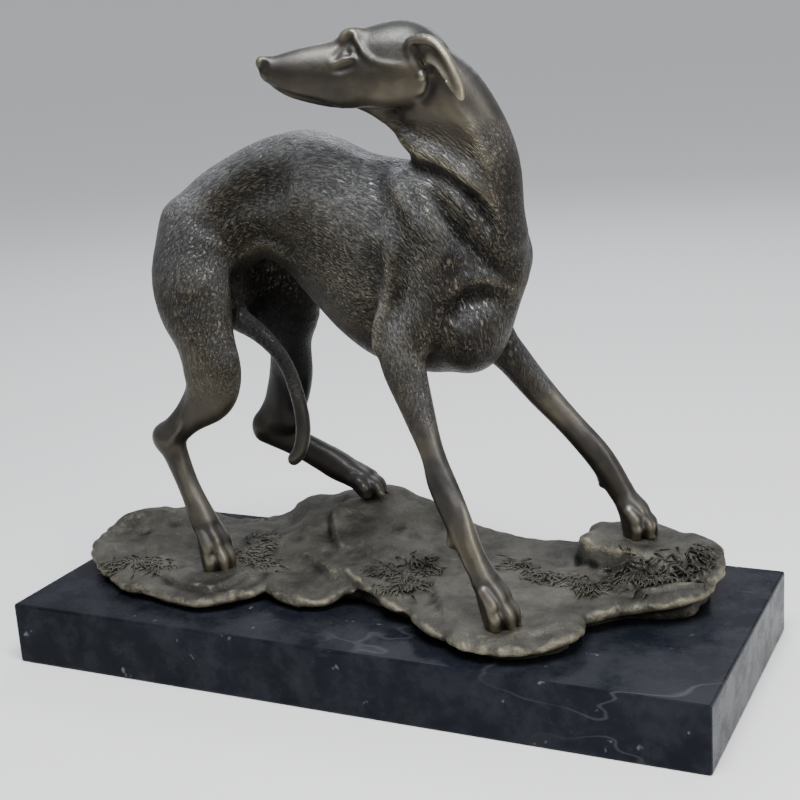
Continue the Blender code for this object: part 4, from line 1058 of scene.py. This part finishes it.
def rock_bronze():
    """The rock's duller patina: a grey-brown crust, with its broken edges rubbed to brass."""
    made = Nodes("grey_patina_bronze")
    place = made.place()
    crest = made.attribute("crest")
    cloud = made.noise(place, 36.0, 5.0, 0.65)
    grain = made.noise(place, 700.0, 4.0, 0.75)
    crust = made.noise(place, 190.0, 5.0, 0.7, 0.4)
    base = made.mix_colour(made.ranged(cloud, 0.35, 0.65), ROCK_DARK, ROCK_GREY)
    worn = made.ranged(made.sum(crest, made.times(made.sum(crust, -0.5), 2.0)), 0.4, 1.3, 0.0, 0.75)
    lighter = made.mix_colour(worn, base, RUBBED_BRONZE)
    colour = made.mix_colour(made.ranged(crest, -0.05, -0.6), lighter, DEEP_BRONZE)
    first = made.bump(crust, 0.9, 0.0014)
    second = made.bump(grain, 0.5, 0.0003, first)
    rough_share = made.ranged(grain, 0.3, 0.7, 0.45, 0.65)
    return made.finish(Base_Color=colour, Metallic=0.6, Roughness=rough_share, Normal=second)


def black_marble():
    """Polished near-black stone with faint thin veins, a few specks and a film of dust."""
    made = Nodes("black_marble")
    place = made.place()
    veins = made.noise(made.stretched(place, (0.5, 1.0, 1.3), (0, 0, 0.5)), 7.0, 4.0, 0.55, 0.3)
    near = made.add("Math", {0: made.sum(veins, -0.5)}, operation="ABSOLUTE")
    thin = made.times(made.ranged(near, 0.004, 0.0), made.ranged(made.noise(place, 9.0), 0.50, 0.70))
    specks = made.ranged(made.noise(place, 150.0, 2.0), 0.72, 0.78)
    dust = made.ranged(made.noise(place, 55.0, 5.0, 0.7), 0.42, 0.75)
    stone = made.mix_colour(made.ranged(made.noise(place, 20.0), 0.3, 0.7), MARBLE_BLACK, MARBLE_GREY)
    dusty = made.mix_colour(made.times(dust, 0.05), stone, MARBLE_DUST)
    veined = made.mix_colour(made.times(thin, 0.08), dusty, MARBLE_VEIN)
    colour = made.mix_colour(made.times(specks, 0.25), veined, MARBLE_SPECK)
    rough_share = made.ranged(dust, 0.0, 1.0, 0.20, 0.45)
    return made.finish(Base_Color=colour, Roughness=rough_share, Specular_IOR_Level=0.05)


def add_camera():
    lens = bpy.data.cameras.new("camera")
    lens.lens = CAMERA_LENS
    lens.sensor_width = CAMERA_SENSOR
    made = placed("camera", lens, CAMERA_PLACE)
    made.rotation_euler = [math.radians(a) for a in CAMERA_TURN]
    bpy.context.scene.camera = made


def add_light(name, place, target, size, power, colour):
    lamp = bpy.data.lights.new(name, "AREA")
    lamp.shape = "RECTANGLE"
    lamp.size, lamp.size_y = size
    lamp.energy = power
    lamp.color = colour
    made = placed(name, lamp, place)
    way = np.array(target) - np.array(place)
    made.rotation_euler = Vector(way).to_track_quat("-Z", "Y").to_euler()


def add_lights():
    """Soft light from all round, and the lamps."""
    world = bpy.data.worlds.new("studio")
    world.use_nodes = True
    sky = world.node_tree.nodes["Background"]
    sky.inputs["Color"].default_value = SKY_COLOUR
    sky.inputs["Strength"].default_value = SKY_STRENGTH
    bpy.context.scene.world = world
    for light in LIGHTS:
        add_light(*light)


def add_floor():
    """A pale disc that curves up far from the object."""
    shape = bmesh.new()
    bmesh.ops.create_circle(shape, cap_ends=True, segments=FLOOR_SIDES, radius=FLOOR_FLAT)
    rim = list(shape.edges)
    for radius, height in FLOOR_RISE:
        spread = bmesh.ops.extrude_edge_only(shape, edges=rim)["geom"]
        rim = [e for e in spread if isinstance(e, bmesh.types.BMEdge) and e.is_boundary]
        for corner in {v for edge in rim for v in edge.verts}:
            corner.co = (*(corner.co.xy.normalized() * radius), height)
    mesh = bpy.data.meshes.new("floor")
    shape.to_mesh(mesh)
    shape.free()
    mesh.shade_smooth()
    mesh.materials.append(Nodes("pale_floor").finish(Base_Color=FLOOR_COLOUR, Roughness=FLOOR_ROUGHNESS))
    floor = placed("floor", mesh)


def add_grass(rock):
    """Tufts of curved blades. Each grows from the rock's skin where a ray from above meets it."""
    skin_tree = BVHTree.FromPolygons([v.co for v in rock.data.vertices],
                                     [p.vertices for p in rock.data.polygons])
    rng = np.random.default_rng(GRASS_SEED)
    corners, faces = [], []
    for x, y, spread, blades, lean in TUFTS:
        for _ in range(blades):
            root = np.array((x, y)) + spread * rng.normal(0, 0.5, 2) * TUFT_STRETCH
            hit = skin_tree.ray_cast(Vector((*(root * SCALE), RAY_START)), Vector((0, 0, -1)))[0]
            if hit is None:
                continue
            heading = math.radians(lean + rng.normal(0, BLADE_FAN))
            lift = rng.uniform(*BLADE_LIFTS)
            blade(corners, faces, np.array(hit) / SCALE, heading, rng.uniform(*BLADE_LENGTHS), lift)
    mesh = bpy.data.meshes.new("greyhound_grass")
    mesh.from_pydata((np.array(corners) * SCALE).tolist(), [], faces)
    mesh.shade_smooth()
    store(mesh, "crest", np.tile(BLADE_CREST, len(corners) // len(BLADE_CREST)))
    return in_the_casting(mesh)


def blade(corners, faces, root, heading, length, lift):
    """One blade: three-sided, thickest near its root, rising and then bending over."""
    ahead = np.array((math.cos(heading), math.sin(heading), 0))
    across = np.array((-ahead[1], ahead[0], 0))
    up = np.array(UP)
    first = len(corners)
    for share, width in BLADE_STATIONS:
        rise = BLADE_ARCH * lift * share * (BLADE_FALL - share) - BLADE_SUNK
        middle = root + length * (share * ahead + rise * up)
        for out in (-across, BLADE_RIDGE * up, across):
            corners.append(middle + BLADE_WIDTH * width * out)
    for station in range(len(BLADE_STATIONS) - 1):
        for side in range(3):
            a = first + 3 * station + side
            b = first + 3 * station + (side + 1) % 3
            faces.append((a, b, b + 3, a + 3))
    last = first + 3 * (len(BLADE_STATIONS) - 1)
    faces.extend([(first + 2, first + 1, first), (last, last + 1, last + 2)])


def rocky_ground(clay):
    """The CAD's rock with its broken surface: creases, lumps, and thin layers that show on its cliffs."""
    ground(clay)
    for number, (height, lengths) in enumerate(ROCK_CREASES):
        rough(clay, height, lengths, number, creased=True)
    for number, (height, lengths) in enumerate(ROCK_ROUGHNESS):
        rough(clay, height, lengths, number)
    below_the_plinth_top = -clay.axes[2][None, None, :]
    clay.value = np.maximum(clay.value, below_the_plinth_top)


def main():
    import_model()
    add_camera()
    add_lights()
    add_floor()
    metal = bronze()
    pieces = [clay_piece("greyhound_body", DOG_BLOCK, greyhound, FINE_BLOCKS.values())]
    for name, block in FINE_BLOCKS.items():
        pieces.append(clay_piece("greyhound_" + name, block, greyhound))
    for piece in pieces:
        piece.data.materials.append(metal)
    rock_piece = clay_piece("greyhound_rock", ROCK_BLOCK, rocky_ground)
    crusted = rock_bronze()
    for piece in (rock_piece, add_grass(rock_piece)):
        piece.data.materials.append(crusted)
    plinth = bpy.data.objects["plinth"]
    stone = black_marble()
    for place in plinth.material_slots:
        place.material = stone


main()
